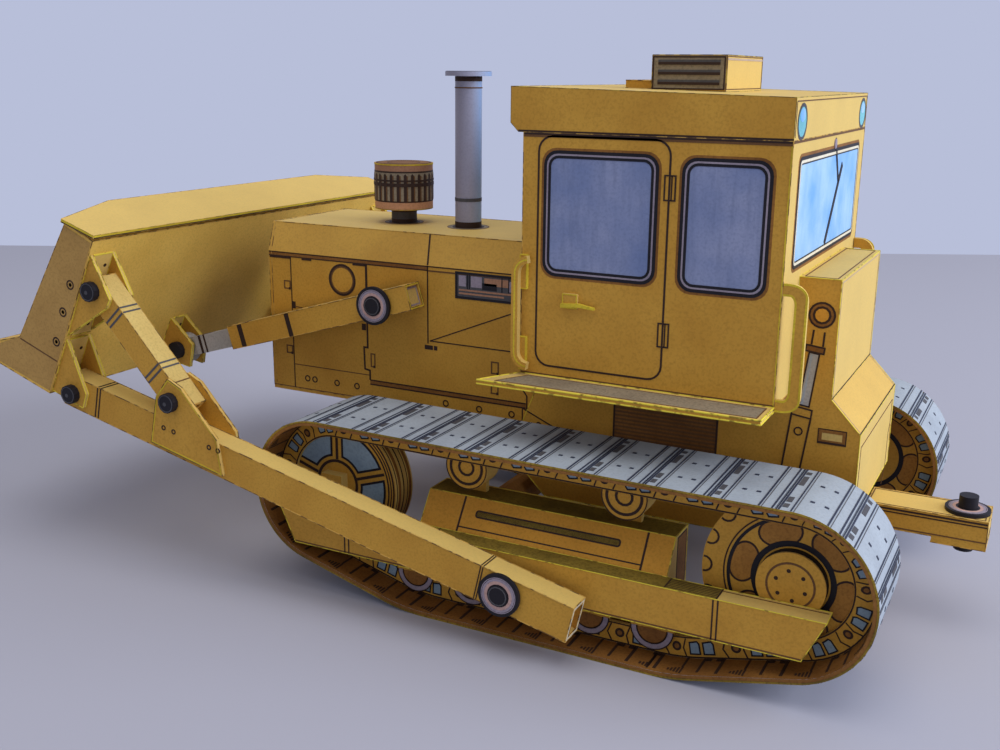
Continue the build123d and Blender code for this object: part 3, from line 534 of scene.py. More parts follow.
@dataclass(frozen=True)
class Loop:
    """Outline of a track: a flat run, two gentle bends and two wheels."""

    wheel_base: float = 77.4
    sprocket_z: float = 16.6
    sprocket_r: float = 12.65
    idler_z: float = 17.4
    idler_r: float = 12.5
    ground_rear: float = 19.0
    ground_front: float = 57.0
    bend_r: float = 30.0
    shoe_card: float = 0.8

    def parts(self) -> list[tuple[float, float, float, float, float, float, bool]]:
        """Runs and bends in order, from the flat run forward and round.

        Returns:
            For each part its length, two centre or start values, the first
            normal angle, the sweep or direction, its radius and if it is bent.
        """
        circles = [(self.ground_rear, self.bend_r, self.bend_r),
                   (self.ground_front, self.bend_r, self.bend_r),
                   (self.wheel_base, self.idler_z, self.idler_r),
                   (0.0, self.sprocket_z, self.sprocket_r)]
        normals, lengths, starts = [], [], []
        for here, there in zip(circles, circles[1:] + circles[:1]):
            dx, dz = there[0] - here[0], there[1] - here[1]
            normal = atan2(dz, dx) - acos((here[2] - there[2]) / hypot(dx, dz))
            normals.append(normal)
            start = (here[0] + here[2] * cos(normal), here[1] + here[2] * sin(normal))
            end = (there[0] + there[2] * cos(normal), there[1] + there[2] * sin(normal))
            starts.append(start)
            lengths.append(hypot(end[0] - start[0], end[1] - start[1]))
        parts = []
        for index, (normal, length, start) in enumerate(zip(normals, lengths, starts)):
            parts.append((length, start[0], start[1], normal, 0.0, 0.0, False))
            circle = circles[(index + 1) % 4]
            sweep = (normals[(index + 1) % 4] - normal) % tau
            parts.append((sweep * circle[2], circle[0], circle[1], normal, sweep, circle[2], True))
        return parts

    def length(self) -> float:
        """Length once round the outside of the shoes."""
        return sum(part[0] for part in self.parts())

    def station(self, s: float) -> Triple:
        """Place on the outside of the shoes.

        Args:
            s: Distance along, from the rear end of the flat run forward.

        Returns:
            X, Z and the angle of the outward normal.
        """
        rest = s % self.length()
        for length, x, z, normal, sweep, radius, bent in self.parts():
            if rest <= length:
                break
            rest -= length
        if bent:
            angle = normal + sweep * rest / length
            return x + radius * cos(angle), z + radius * sin(angle), angle
        return x - sin(normal) * rest, z + cos(normal) * rest, normal


@dataclass(frozen=True)
class TrackFace(Surface):
    """Inside of the shoes: u runs along the loop and v is Y."""

    loop: Loop
    depth: float
    step: float = 1.2

    def point(self, u: float, v: float, lift: float) -> Vector:
        """Place of a printed point in the shared frame.

        Args:
            u: Distance round the track.
            v: Place across it.
            lift: Distance off the shoes, inwards.

        Returns:
            The point, in metres.
        """
        x, z, angle = self.loop.station(u)
        reach = self.depth + lift
        return AXES.point(x - reach * cos(angle), v, z - reach * sin(angle))


@dataclass(frozen=True)
class TrackSide(Surface):
    """Side of the track at y: u runs along the loop, v is the depth inside."""

    loop: Loop
    y: float
    sign: float
    step: float = 1.2

    def point(self, u: float, v: float, lift: float) -> Vector:
        """Place of a printed point in the shared frame."""
        x, z, angle = self.loop.station(u)
        return AXES.point(x - v * cos(angle), self.y + self.sign * lift, z - v * sin(angle))


# ---- sheets
def arc(centre: Point, radius: float, start: float, end: float, cuts: int) -> list[Point]:
    """Points on an arc, angles in degrees."""
    return [polar(centre, radius, start + (end - start) * i / cuts) for i in range(cuts + 1)]


def polar(centre: Point, radius: float, angle: float) -> Point:
    """The point at a radius and an angle in degrees from a centre."""
    return centre[0] + radius * cos(radians(angle)), centre[1] + radius * sin(radians(angle))


def circle(centre: Point, radius: float) -> list[Point]:
    """Points round a circle, more on a larger one."""
    return arc(centre, radius, 0, 360, max(12, int(radius * 10)))[:-1]


def shrunk(outline: Outline, share: float) -> list[Point]:
    """An outline drawn in towards its middle."""
    u, v = (sum(values) / len(outline) for values in zip(*outline))
    return [(u + share * (a - u), v + share * (b - v)) for a, b in outline]


def rounded(u0: float, u1: float, v0: float, v1: float, corner: float) -> list[Point]:
    """Outline of a rectangle with rounded corners, counter-clockwise.

    Args:
        u0, u1: Ends along.
        v0, v1: Ends across.
        corner: The corners' radius.

    Returns:
        Its points.
    """
    if corner <= 0:
        return [(u0, v0), (u1, v0), (u1, v1), (u0, v1)]
    points: list[Point] = []
    for cu, cv, start in ((u1 - corner, v0 + corner, -90), (u1 - corner, v1 - corner, 0),
                          (u0 + corner, v1 - corner, 90), (u0 + corner, v0 + corner, 180)):
        points += arc((cu, cv), corner, start, start + 90, 5)
    return points


def oval(centre: Point, half_u: float, half_v: float, cuts: int = 20) -> list[Point]:
    """Outline of an oval."""
    turns = (tau * index / cuts for index in range(cuts))
    return [(centre[0] + half_u * cos(turn), centre[1] + half_v * sin(turn)) for turn in turns]


class Sheet:
    """Collects printed and glued-on card, and makes one piece of it."""

    def __init__(self) -> None:
        """Start an empty sheet."""
        self.mesh = bmesh.new()
        self.inks: list[Material] = []

    def slot(self, material: Material) -> int:
        """Number of the material's slot on this sheet.

        Args:
            material: A finish's material.

        Returns:
            The number; a new slot is added where it has none.
        """
        if material not in self.inks:
            self.inks.append(material)
        return self.inks.index(material)

    def paint(self, faces: Iterable[bmesh.types.BMFace], ink: Ink) -> None:
        """Give faces an ink.

        Args:
            faces: Faces of this sheet.
            ink: Their finish.
        """
        slot = self.slot(ink.material)
        for face in faces:
            face.material_index = slot

    def prism(self, surface: Surface, rails: Sequence[tuple[Point, Point]], ink: Ink,
              height: float, closed: bool, base: float) -> None:
        """Build a closed strip between two rows of points.

        Args:
            surface: What it lies on.
            rails: Pairs of points, left and right of the strip.
            ink: Its finish.
            height: How far it stands off the surface.
            closed: Whether the last pair joins the first.
            base: Height of its underside.
        """
        rows = []
        for left, right in rails:
            corners = (left, height), (right, height), (right, base), (left, base)
            rows.append([self.mesh.verts.new(surface.point(*spot, lift)) for spot, lift in corners])
        faces = []
        for first, second in zip(rows, rows[1:] + (rows[:1] if closed else [])):
            for side in range(4):
                other = (side + 1) % 4
                ring = (first[side], first[other], second[other], second[side])
                faces.append(self.mesh.faces.new(ring))
        if not closed:
            faces.append(self.mesh.faces.new(rows[0][::-1]))
            faces.append(self.mesh.faces.new(rows[-1]))
        self.paint(faces, ink)
        top = faces[0]
        top.normal_update()
        u, v = rails[0][0]
        out = surface.point(u, v, 1.0) - surface.point(u, v, 0.0)
        if top.normal.dot(out) < 0:
            for face in faces:
                face.normal_flip()

    def fill(self, surface: Surface, outline: Outline, ink: Ink, layer: int = 0,
             height: Optional[float] = None, base: float = -SINK) -> None:
        """Print or glue on a filled outline on a flat surface.

        Args:
            surface: What it lies on.
            outline: Its corners, in either direction.
            ink: Its finish.
            layer: Which layer of print it is.
            height: Its height instead of the layer's, for glued-on card.
            base: Height of its underside.
        """
        top_z = LAYER * (layer + 1) if height is None else height
        area = sum(a[0] * b[1] - b[0] * a[1] for a, b in zip(outline, [*outline[1:], outline[0]]))
        points = list(outline)
        if (area > 0) != (surface.handed(*points[0]) > 0):
            points.reverse()
        top = [self.mesh.verts.new(surface.point(u, v, top_z)) for u, v in points]
        low = [self.mesh.verts.new(surface.point(u, v, base)) for u, v in points]
        faces = [self.mesh.faces.new(top), self.mesh.faces.new(low[::-1])]
        for index in range(len(points)):
            other = (index + 1) % len(points)
            faces.append(self.mesh.faces.new((top[other], top[index], low[index], low[other])))
        self.paint(faces, ink)

    def stroke(self, surface: Surface, points: Outline, width: float, ink: Ink,
               closed: bool = False, layer: int = 1, height: Optional[float] = None,
               base: float = -SINK) -> None:
        """Print a line of even width, or glue on a strip of card.

        Args:
            surface: What it lies on.
            points: The line's corners.
            width: Its width.
            ink: Its finish.
            closed: Whether it returns to its start.
            layer: Which layer of print it is.
            height: Its height instead of the layer's.
            base: Height of its underside.
        """
        line = self.cut_up(surface, list(points), closed)
        count, half, rails = len(line), width / 2, []
        for index, (u, v) in enumerate(line):
            before = line[index - 1] if closed or index else None
            after = line[(index + 1) % count] if closed or index < count - 1 else None
            first = atan2(v - before[1], u - before[0]) if before else None
            second = atan2(after[1] - v, after[0] - u) if after else first
            first = second if first is None else first
            turn = (second - first + pi) % tau - pi
            middle = first + turn / 2
            reach = half / max(cos(turn / 2), 0.35)
            rails.append(((u - reach * sin(middle), v + reach * cos(middle)),
                          (u + reach * sin(middle), v - reach * cos(middle))))
        top = LAYER * (layer + 1) if height is None else height
        self.prism(surface, rails, ink, top, closed, base)

    def lines(self, surface: Surface, width: float, ink: Ink, *lines: Outline,
              layer: int = 1) -> None:
        """Print several open lines of one width."""
        for line in lines:
            self.stroke(surface, line, width, ink, layer=layer)

    def along(self, surface: Surface, width: float, ink: Ink, u0: float, u1: float,
              *places: float, layer: int = 1) -> None:
        """Print straight lines from u0 to u1, one at each place across."""
        self.lines(surface, width, ink, *([(u0, v), (u1, v)] for v in places), layer=layer)

    def across(self, surface: Surface, width: float, ink: Ink, v0: float, v1: float,
               *places: float, layer: int = 1) -> None:
        """Print straight lines from v0 to v1, one at each place along."""
        self.lines(surface, width, ink, *([(u, v0), (u, v1)] for u in places), layer=layer)

    def plate(self, surface: Surface, u0: float, u1: float, v0: float, v1: float, ink: Ink,
              height: Optional[float] = None, base: float = -SINK) -> None:
        """Print or glue on a square-cornered plate on a flat surface."""
        self.fill(surface, rounded(u0, u1, v0, v1, 0), ink, height=height, base=base)

    def open_rim(self, rim: Surface, y0: float, y1: float, half: float, card: float, gap: float,
                 ink: Ink) -> None:
        """Print the bare card round the open end of a square tube.

        Args:
            rim: Face across the tube's end, v from the tube's axis.
            y0: One side of the tube.
            y1: Its other side.
            half: Half its height.
            card: Thickness of its card.
            gap: How far the print stays off the card's edges.
            ink: Its finish.
        """
        for a, b, c, d in ((y0, y1, half - card, half), (y0, y1, -half, card - half),
                           (y0, y0 + card, card - half, half - card),
                           (y1 - card, y1, card - half, half - card)):
            self.plate(rim, a + gap, b - gap, c + gap, d - gap, ink)

    def box(self, surface: Surface, u0: float, u1: float, v0: float, v1: float, width: float,
            ink: Ink, inside: Optional[Ink] = None, corner: float = 0.0, layer: int = 1,
            height: Optional[float] = None) -> None:
        """Print a rectangle's outline, and its inside where that has an ink.

        Args:
            surface: What is printed on.
            u0, u1: Ends along.
            v0, v1: Ends across.
            width: The line's width.
            ink: The line's finish.
            inside: The finish inside.
            corner: The corners' radius.
            layer: The line's layer.
            height: The line's height, where it isn't the layer's.
        """
        outline = rounded(u0, u1, v0, v1, corner)
        if inside is not None:
            self.fill(surface, outline, inside)
        self.stroke(surface, outline, width, ink, closed=True, layer=layer, height=height)

    @staticmethod
    def cut_up(surface: Surface, points: list[Point], closed: bool) -> list[Point]:
        """Add points to a line so that it follows a curved surface.

        Args:
            surface: What the line is printed on.
            points: The line.
            closed: Whether it returns to its start.

        Returns:
            The line with more points.
        """
        if not surface.step:
            return points
        line: list[Point] = []
        ends = points + (points[:1] if closed else [])
        for (u0, v0), (u1, v1) in zip(ends, ends[1:]):
            cuts = max(1, ceil(abs(u1 - u0) / surface.step))
            line += [(u0 + (u1 - u0) * i / cuts, v0 + (v1 - v0) * i / cuts) for i in range(cuts)]
        return line if closed else line + [points[-1]]

    def band(self, surface: Surface, u0: float, u1: float, v0: float, v1: float, ink: Ink,
             layer: int = 0, closed: bool = False, height: Optional[float] = None) -> None:
        """Print a rectangle that follows a curved surface.

        Args:
            surface: What it lies on.
            u0: Start along the surface.
            u1: End along the surface.
            v0: Lower edge.
            v1: Upper edge.
            ink: Its finish.
            layer: Which layer of print it is.
            closed: Whether it goes all the way round.
            height: Its height instead of the layer's.
        """
        cuts = max(1, ceil(abs(u1 - u0) / surface.step)) if surface.step else 1
        rails = [((u0 + (u1 - u0) * i / cuts, v1), (u0 + (u1 - u0) * i / cuts, v0))
                 for i in range(cuts if closed else cuts + 1)]
        top = LAYER * (layer + 1) if height is None else height
        self.prism(surface, rails, ink, top, closed, -SINK)

    def ring(self, surface: Surface, centre: Point, radius: float, width: float, ink: Ink,
             layer: int = 1) -> None:
        """Print a ring round a centre."""
        self.stroke(surface, circle(centre, radius), width, ink, closed=True, layer=layer)

    def disc(self, surface: Surface, centre: Point, radius: float, ink: Ink,
             layer: int = 0) -> None:
        """Print a disc."""
        self.fill(surface, circle(centre, radius), ink, layer)

    def bolt(self, surface: Surface, centre: Point, radius: float) -> None:
        """Print a bolt head: a dark ring."""
        self.ring(surface, centre, radius, 0.22, Ink.LINE)

    def take(self, mesh: Mesh) -> None:
        """Add a finished mesh with its own materials, and free it.

        Args:
            mesh: The finished mesh.
        """
        before = len(self.mesh.faces)
        self.mesh.from_mesh(mesh)
        self.mesh.faces.ensure_lookup_table()
        slots = [self.slot(material) for material in mesh.materials]
        for face in self.mesh.faces[before:]:
            face.material_index = slots[face.material_index] if slots else 0
        bpy.data.meshes.remove(mesh)

    def finish(self, name: str, body: str, slot: str = "ochre_card") -> Piece:
        """Turn the sheet into a piece that rides on a body.

        Args:
            name: The piece's name.
            body: The CAD body that it moves with.
            slot: Not used.

        Returns:
            The new object.
        """
        mesh = bpy.data.meshes.new(name)
        self.mesh.to_mesh(mesh)
        self.mesh.free()
        for material in self.inks:
            mesh.materials.append(material)
        piece = bpy.data.objects.new(name, mesh)
        bpy.context.scene.collection.objects.link(piece)
        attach(piece, body)
        LOG.info("%s: %d faces on %s", name, len(mesh.polygons), body)
        return piece


# ---- repeated work
def socket_id(tree: Tree, name: str) -> str:
    """Identifier of a tree's named input."""
    return next(item.identifier for item in tree.interface.items_tree
                if item.item_type == "SOCKET" and item.in_out == "INPUT" and item.name == name)


def new_tree(name: str, **inputs: str) -> Tree:
    """Start a geometry tree with a geometry in and out.

    Args:
        name: The tree's name.
        inputs: Kinds of its further inputs, by name.

    Returns:
        The tree, with its input and output nodes named In and Out.
    """
    tree = bpy.data.node_groups.new(name, "GeometryNodeTree")
    tree.interface.new_socket("Geometry", in_out="OUTPUT", socket_type="NodeSocketGeometry")
    for label, kind in {"Geometry": "Geometry", **inputs}.items():
        tree.interface.new_socket(label, in_out="INPUT", socket_type="NodeSocket" + kind)
    tree.nodes.new("NodeGroupInput").name = "In"
    tree.nodes.new("NodeGroupOutput").name = "Out"
    return tree


def finish_tree(tree: Tree, geometry: Socket) -> None:
    """End a tree in Realize Instances and Set Material.

    Args:
        tree: A tree begun by new_tree.
        geometry: What the tree has made.
    """
    real = add(tree, "GeometryNodeRealizeInstances", {"Geometry": geometry})
    paint = add(tree, "GeometryNodeSetMaterial", {
        "Geometry": real.outputs["Geometry"], "Material": tree.nodes["In"].outputs["Finish"]})
    feed(tree, tree.nodes["Out"], {"Geometry": paint.outputs["Geometry"]})


def row_tree() -> Tree:
    """Tree that sets copies of a small mark at an even pitch along a path.

    Returns:
        A tree with inputs for the mark, its number, start, pitch and finish.
    """
    made = bpy.data.node_groups.get("marks_along_a_path")
    if made is not None:
        return made
    tree = new_tree("marks_along_a_path", Mark="Object", Count="Int", Start="Float", Pitch="Float",
                    Across="Vector", Finish="Material")
    given = tree.nodes["In"].outputs
    index = add(tree, "GeometryNodeInputIndex")
    along = add(tree, "ShaderNodeMath", {
        0: index.outputs["Index"], 1: given["Pitch"], 2: given["Start"]}, operation="MULTIPLY_ADD")
    sample = add(tree, "GeometryNodeSampleCurve", {
        "Curves": given["Geometry"], "Length": along.outputs["Value"]},
        mode="LENGTH", use_all_curves=False)
    points = add(tree, "GeometryNodePoints", {"Count": given["Count"]})
    spots = add(tree, "GeometryNodeSetPosition", {
        "Geometry": points.outputs["Points"], "Position": sample.outputs["Position"]})
    turn = add(tree, "FunctionNodeAxesToRotation", {
        "Primary Axis": sample.outputs["Tangent"], "Secondary Axis": given["Across"]},
        primary_axis="X", secondary_axis="Y")
    mark = add(tree, "GeometryNodeObjectInfo", {"Object": given["Mark"]})
    place = add(tree, "GeometryNodeInstanceOnPoints", {
        "Points": spots.outputs["Geometry"], "Instance": mark.outputs["Geometry"],
        "Rotation": turn.outputs["Rotation"]})
    finish_tree(tree, place.outputs["Instances"])
    return tree


def edge_tree() -> Tree:
    """Tree that runs a thin worn bead along every edge that it is given.

    Returns:
        A tree with inputs for the bead's radius, unevenness and finish.
    """
    made = bpy.data.node_groups.get("worn_edges_with_highlight")
    if made is not None:
        return made
    tree = new_tree("worn_edges_with_highlight", Radius="Float", Uneven="Float", Pitch="Float", Finish="Material")
    given = tree.nodes["In"].outputs
    curve = add(tree, "GeometryNodeMeshToCurve", {"Mesh": given["Geometry"]})
    even = add(tree, "GeometryNodeResampleCurve", {"Curve": curve.outputs["Curve"]}, mode="LENGTH")
    feed(tree, even, {"Length": given["Pitch"]})
    place = add(tree, "GeometryNodeInputPosition")
    wear = add(tree, "ShaderNodeTexNoise", {
        "Vector": place.outputs["Position"], "Scale": 420.0, "Detail": 2.0})
    size = add(tree, "ShaderNodeMath", {
        0: wear.outputs["Fac"], 1: given["Uneven"], 2: given["Radius"]}, operation="MULTIPLY_ADD")
    width = add(tree, "GeometryNodeSetCurveRadius", {
        "Curve": even.outputs["Curve"], "Radius": size.outputs["Value"]})
    ring = add(tree, "GeometryNodeCurvePrimitiveCircle", {"Resolution": 5, "Radius": 1.0})
    solid = add(tree, "GeometryNodeCurveToMesh", {
        "Curve": width.outputs["Curve"], "Profile Curve": ring.outputs["Curve"], "Fill Caps": True})
    if "Scale" in solid.inputs:
        feed(tree, solid, {"Scale": add(tree, "GeometryNodeInputRadius").outputs["Radius"]})
    finish_tree(tree, solid.outputs["Mesh"])
    return tree


def run_tree(holder: Piece, tree: Tree, values: dict[str, object]) -> Mesh:
    """Run a tree on an object and keep the result as a plain mesh.

    Args:
        holder: The object whose data goes in; it is removed.
        tree: The tree to run.
        values: The tree's inputs by name.

    Returns:
        The mesh, with its materials.
    """
    modifier = holder.modifiers.new("run", "NODES")
    modifier.node_group = tree
    for name, value in values.items():
        modifier[socket_id(tree, name)] = value
    graph = bpy.context.evaluated_depsgraph_get()
    mesh = bpy.data.meshes.new_from_object(holder.evaluated_get(graph), depsgraph=graph)
    data = holder.data
    bpy.data.objects.remove(holder)
    (bpy.data.curves if isinstance(data, bpy.types.Curve) else bpy.data.meshes).remove(data)
    return mesh


@dataclass(frozen=True)
class Path:
    """A route for repeated marks, with the direction that lies across it."""

    points: tuple[Triple, ...]
    across: Triple
    closed: bool = False

    def holder(self) -> Piece:
        """The route as a curve object, in metres.

        Returns:
            A curve object, linked into the scene.
        """
        curve = bpy.data.curves.new("route", "CURVE")
        curve.dimensions = "3D"
        spline = curve.splines.new("POLY")
        spline.points.add(len(self.points) - 1)
        for spot, target in zip(self.points, spline.points):
            target.co = (*AXES.point(*spot), 1.0)
        spline.use_cyclic_u = self.closed
        made = bpy.data.objects.new("route", curve)
        bpy.context.scene.collection.objects.link(made)
        return made


def ring_path(centre: Triple, radius: float) -> Path:
    """A level circle.

    Args:
        centre: Its centre.
        radius: Its radius.

    Returns:
        The circle as a closed path.
    """
    x, y, z = centre
    spots = arc((x, y), radius, 0, 360, 96)[:-1]
    return Path(tuple((a, b, z) for a, b in spots), (0.0, 0.0, 1.0), closed=True)


@dataclass(frozen=True)
class Mark:
    """A small flat mark, drawn in millimetres: x along the path, y across."""

    outline: tuple[Point, ...]
    low: float
    high: float

    def holder(self) -> Piece:
        """The mark as a closed mesh object, in metres.

        Returns:
            A mesh object, not linked yet.
        """
        shape = bmesh.new()
        top = [shape.verts.new((x * MM, y * MM, self.high * MM)) for x, y in self.outline]
        low = [shape.verts.new((x * MM, y * MM, self.low * MM)) for x, y in self.outline]
        shape.faces.new(top)
        shape.faces.new(low[::-1])
        for index in range(len(top)):
            other = (index + 1) % len(top)
            shape.faces.new((top[other], top[index], low[index], low[other]))
        bmesh.ops.recalc_face_normals(shape, faces=shape.faces)
        mesh = bpy.data.meshes.new("mark")
        shape.to_mesh(mesh)
        shape.free()
        return bpy.data.objects.new("mark", mesh)


def bar(x0: float, x1: float, y0: float, y1: float, high: float, low: float) -> Mark:
    """A rectangular mark."""
    return Mark(((x0, y0), (x1, y0), (x1, y1), (x0, y1)), low, high)


def row(path: Path, mark: Mark, count: int, start: float, pitch: float, ink: Ink) -> Mesh:
    """Set a mark at an even pitch along a path.

    Args:
        path: The route.
        mark: What is repeated.
        count: How many.
        start: Distance to the first, in millimetres.
        pitch: Distance between them.
        ink: Their finish.

    Returns:
        One plain mesh with all of them.
    """
    holder = mark.holder()
    bpy.context.scene.collection.objects.link(holder)
    mesh = run_tree(path.holder(), row_tree(), {
        "Mark": holder, "Count": count, "Start": start * MM, "Pitch": pitch * MM,
        "Across": path.across, "Finish": ink.material})
    data = holder.data
    bpy.data.objects.remove(holder)
    bpy.data.meshes.remove(data)
    return mesh


LEAST_FOLD = 35.0         # least angle of an edge that wears, in degrees
SHORTEST_EDGE = 1.2       # shorter edges stay as they are, in millimetres


def worn_edges_with_highlight(node: str, edge: Edge, radius: float) -> Optional[Mesh]:
    """Run a thin worn bead along the folds and cut edges of a CAD piece, with a painted highlight
    in its finish.

    Args:
        node: The CAD piece.
        edge: How its edges look.
        radius: The bead's least radius, in millimetres; wear adds as much at most.

    Returns:
        The bead's mesh, or None where the piece has no such edge.
    """
    shape = bmesh.new()
    shape.from_mesh(frame["nodes"][node].data)
    bmesh.ops.remove_doubles(shape, verts=shape.verts, dist=0.001 * MM)
    keep = [item for item in shape.edges
            if len(item.link_faces) == 2 and item.calc_length() > SHORTEST_EDGE * MM
            and degrees(item.calc_face_angle(0.0)) > LEAST_FOLD]
    wires = bmesh.new()
    for item in keep:
        wires.edges.new([wires.verts.new(vert.co) for vert in item.verts])
    mesh = bpy.data.meshes.new("edges")
    wires.to_mesh(mesh)
    wires.free()
    shape.free()
    if not keep:
        bpy.data.meshes.remove(mesh)
        return None
    holder = bpy.data.objects.new("edges", mesh)
    bpy.context.scene.collection.objects.link(holder)
    return run_tree(holder, edge_tree(), {
        "Radius": radius * MM, "Uneven": radius * MM, "Pitch": 0.9 * MM,
        "Finish": edge.value.material()})


# ---- assemblies
def both(face: Flat) -> tuple[Flat, Flat]:
    """A face and its mirror image on the other side of the machine.

    Args:
        face: A face on the left.

    Returns:
        The face and its mirror image.
    """
    def flip(value: Vector) -> Vector:
        """The vector with its sideways part turned round."""
        return Vector((value[0], -value[1], value[2]))
    return face, Flat(flip(face.origin), flip(face.along), flip(face.up), flip(face.out))


def mine(face: Flat, side: int) -> Flat:
    """The face on the left (1) or the right (-1) side of the machine."""
    return both(face)[0 if side > 0 else 1]


def named(text: str, side: int) -> str:
    """A piece's name with its side."""
    return text + ("_left" if side > 0 else "_right")


def leaning(y: float, z: float, inset: float, rise: float) -> tuple[Flat, float]:
    """A side face that leans inwards from y and z.

    Args:
        y: Where its foot lies.
        z: The foot's height.
        inset: How far it comes in.
        rise: How far it rises.

    Returns:
        The face on the left side, and its height measured along the slope.
    """
    slant = hypot(rise, inset)
    return Flat(Vector((0, y, z)), Vector((1, 0, 0)), Vector((0, -inset, rise)) / slant,
                Vector((0, rise, inset)) / slant), slant


@dataclass
class Hood:
    """Print on the hood: seams, latches, engine opening and bolts."""

    half: float = 13.5
    top_half: float = 11.7
    shoulder: float = 52.4
    top: float = 57.7
    bottom: float = 26.2
    front: float = 105.9
    rear: float = 46.5
    seam: float = 71.1
    nose_seam: float = 100.9
    door: float = 84.0
    ledge: float = 30.0        # upper line of the strip below the engine
    strip: float = 0.8         # its height
    strip_rear: float = 51.6
    flap: Point = (47.0, 38.9)             # rear lower corner of the engine's flap
    cap: Point = (89.3, 48.2)
    opening: Rect = (52.5, 65.3, 47.4, 51.7)
    slats: int = 21
    # ends of the dark pads below the shoulder
    pads: tuple[Point, ...] = ((101.0, 105.7), (96.1, 98.3), (84.1, 86.9))
    bolts: tuple[Point, ...] = ((97.9, 28.4), (96.2, 28.4), (91.1, 28.4), (86.6, 28.4),
                                (67.5, 27.8), (60.7, 27.7), (54.3, 27.7))
    # rear, front, foot and top of the latches, and of the solid marks
    latches: tuple[Rect, ...] = (
        (101.2, 102.5, 45.5, 46.9), (101.2, 102.5, 33.0, 34.4),
        (82.5, 83.3, 32.6, 35.0), (57.0, 58.3, 34.6, 36.6), (57.0, 58.3, 31.0, 32.4))
    marks: tuple[Rect, ...] = (
        (100.1, 100.8, 41.8, 43.1), (84.3, 85.2, 39.3, 40.5),
        (69.2, 69.9, 37.3, 38.1), (70.1, 71.8, 37.3, 38.1))
    # rear, front, foot and top above the opening's sill, and ink of the engine's parts
    engine_parts: tuple[tuple[float, float, float, float, Ink], ...] = (
        (63.4, 64.8, 2.0, 3.9, Ink.STEEL), (60.3, 62.4, 2.0, 3.9, Ink.STEEL),
        (55.2, 59.8, 2.5, 3.8, Ink.DUSK), (52.9, 55.0, 1.8, 3.6, Ink.STEEL),
        (57.4, 60.2, 1.7, 2.9, Ink.BLACK), (52.9, 64.8, 1.2, 1.5, Ink.DUSK),
        (56.0, 64.8, 0.6, 0.9, Ink.DUSK))

    def build(self) -> None:
        """Print the hood."""
        sheet = Sheet()
        for face in both(UPRIGHT.side(self.half)):
            self.seams(sheet, face)
            self.engine(sheet, face)
        shoulder, slant = leaning(self.half, self.shoulder, self.half - self.top_half,
                                  self.top - self.shoulder)
        for face in both(shoulder):
            sheet.lines(face, 0.3, Ink.LINE, [(self.seam, 0.1), (self.seam + 0.45, slant - 0.1)])
        self.radiator(sheet)
        sheet.finish("print_hood", "chassis")

    def seams(self, sheet: Sheet, face: Flat) -> None:
        """Seams, latches and edge lines of one side.

        Args:
            sheet: Where they are added.
            face: The side.
        """
        line, door, low, seam, front = self.shoulder, self.door, self.bottom, self.seam, self.front
        foot, ledge, sill = door - 0.4, self.ledge, self.ledge - self.strip
        sheet.band(face, seam, front, line - 0.75, line - 0.15, Ink.BROWN)
        sheet.along(face, 0.2, Ink.LINE, seam, front, line - 0.15, line - 0.85)
        sheet.lines(face, 0.2, Ink.LINE, [(self.rear, line - 0.12), (seam, line - 0.15)])
        sheet.across(face, 0.2, Ink.LINE, line - 0.9, low + 0.05, self.nose_seam)
        sheet.lines(face, 0.26, Ink.SOFT_LINE, [(self.rear, line - 0.85), (seam, line - 0.9)])
        for rear, end in self.pads:
            sheet.along(face, 0.42, Ink.LINE, rear, end, line - 1.05, layer=2)
        sheet.across(face, 0.42, Ink.LINE, line - 0.9, 43.0, door, layer=2)
        sheet.lines(face, 0.34, Ink.LINE, [(door, 43.0), (door, 36.1), (door + 0.8, 36.1),
                                           (door + 0.7, 32.0), (foot, 31.8), (foot, ledge)])
        sheet.across(face, 0.24, Ink.LINE, line, 38.4, seam)
        sheet.along(face, 0.24, Ink.LINE, foot, self.strip_rear, ledge, sill)
        sheet.lines(face, 0.24, Ink.LINE, [(52.2, 32.4), (51.4, 31.4), (51.4, low + 0.1)])
        sheet.band(face, self.strip_rear, foot, sill, ledge, Ink.BROWN)
        sheet.along(face, 0.16, Ink.SOFT_LINE, self.nose_seam, foot, ledge + 0.9)
        sheet.along(face, 0.16, Ink.SOFT_LINE, self.rear, front, low + 0.12)
        sheet.lines(face, 0.16, Ink.SOFT_LINE, [(100.2, 42.2), (97.9, 42.0)])
        for u0, u1, v0, v1 in self.latches:
            sheet.box(face, u0, u1, v0, v1, 0.24, Ink.SOFT_LINE)
            sheet.band(face, u0 - 0.1, u0 + 0.3, v0 - 0.2, v0 + 0.25, Ink.LINE, layer=2)
        for mark in self.marks:
            sheet.band(face, *mark, Ink.LINE)
        sheet.ring(face, self.cap, 2.75, 0.42, Ink.LINE)
        sheet.ring(face, self.cap, 2.4, 0.26, Ink.SOFT_LINE, layer=0)
        rear, foot = self.flap
        corner = (seam - 0.4, foot)
        sheet.lines(face, 0.2, Ink.LINE, [corner, (rear, 48.6)], [corner, (rear, foot)])
        for spot in self.bolts:
            sheet.bolt(face, spot, 0.52)

    def engine(self, sheet: Sheet, face: Flat) -> None:
        """Opening with the engine's parts printed in it.

        Args:
            sheet: Where it is added.
            face: The side.
        """
        _, _, sill, top = self.opening
        sheet.box(face, *self.opening, 0.42, Ink.BLACK, Ink.SHADOW, layer=3)
        for rear, front, low, high, ink in self.engine_parts:
            sheet.band(face, rear, front, sill + low, sill + high, ink, layer=1)
        sheet.across(face, 0.2, Ink.BLACK, sill + 1.6, top, 62.7, 63.1, 55.1, 56.4, layer=2)

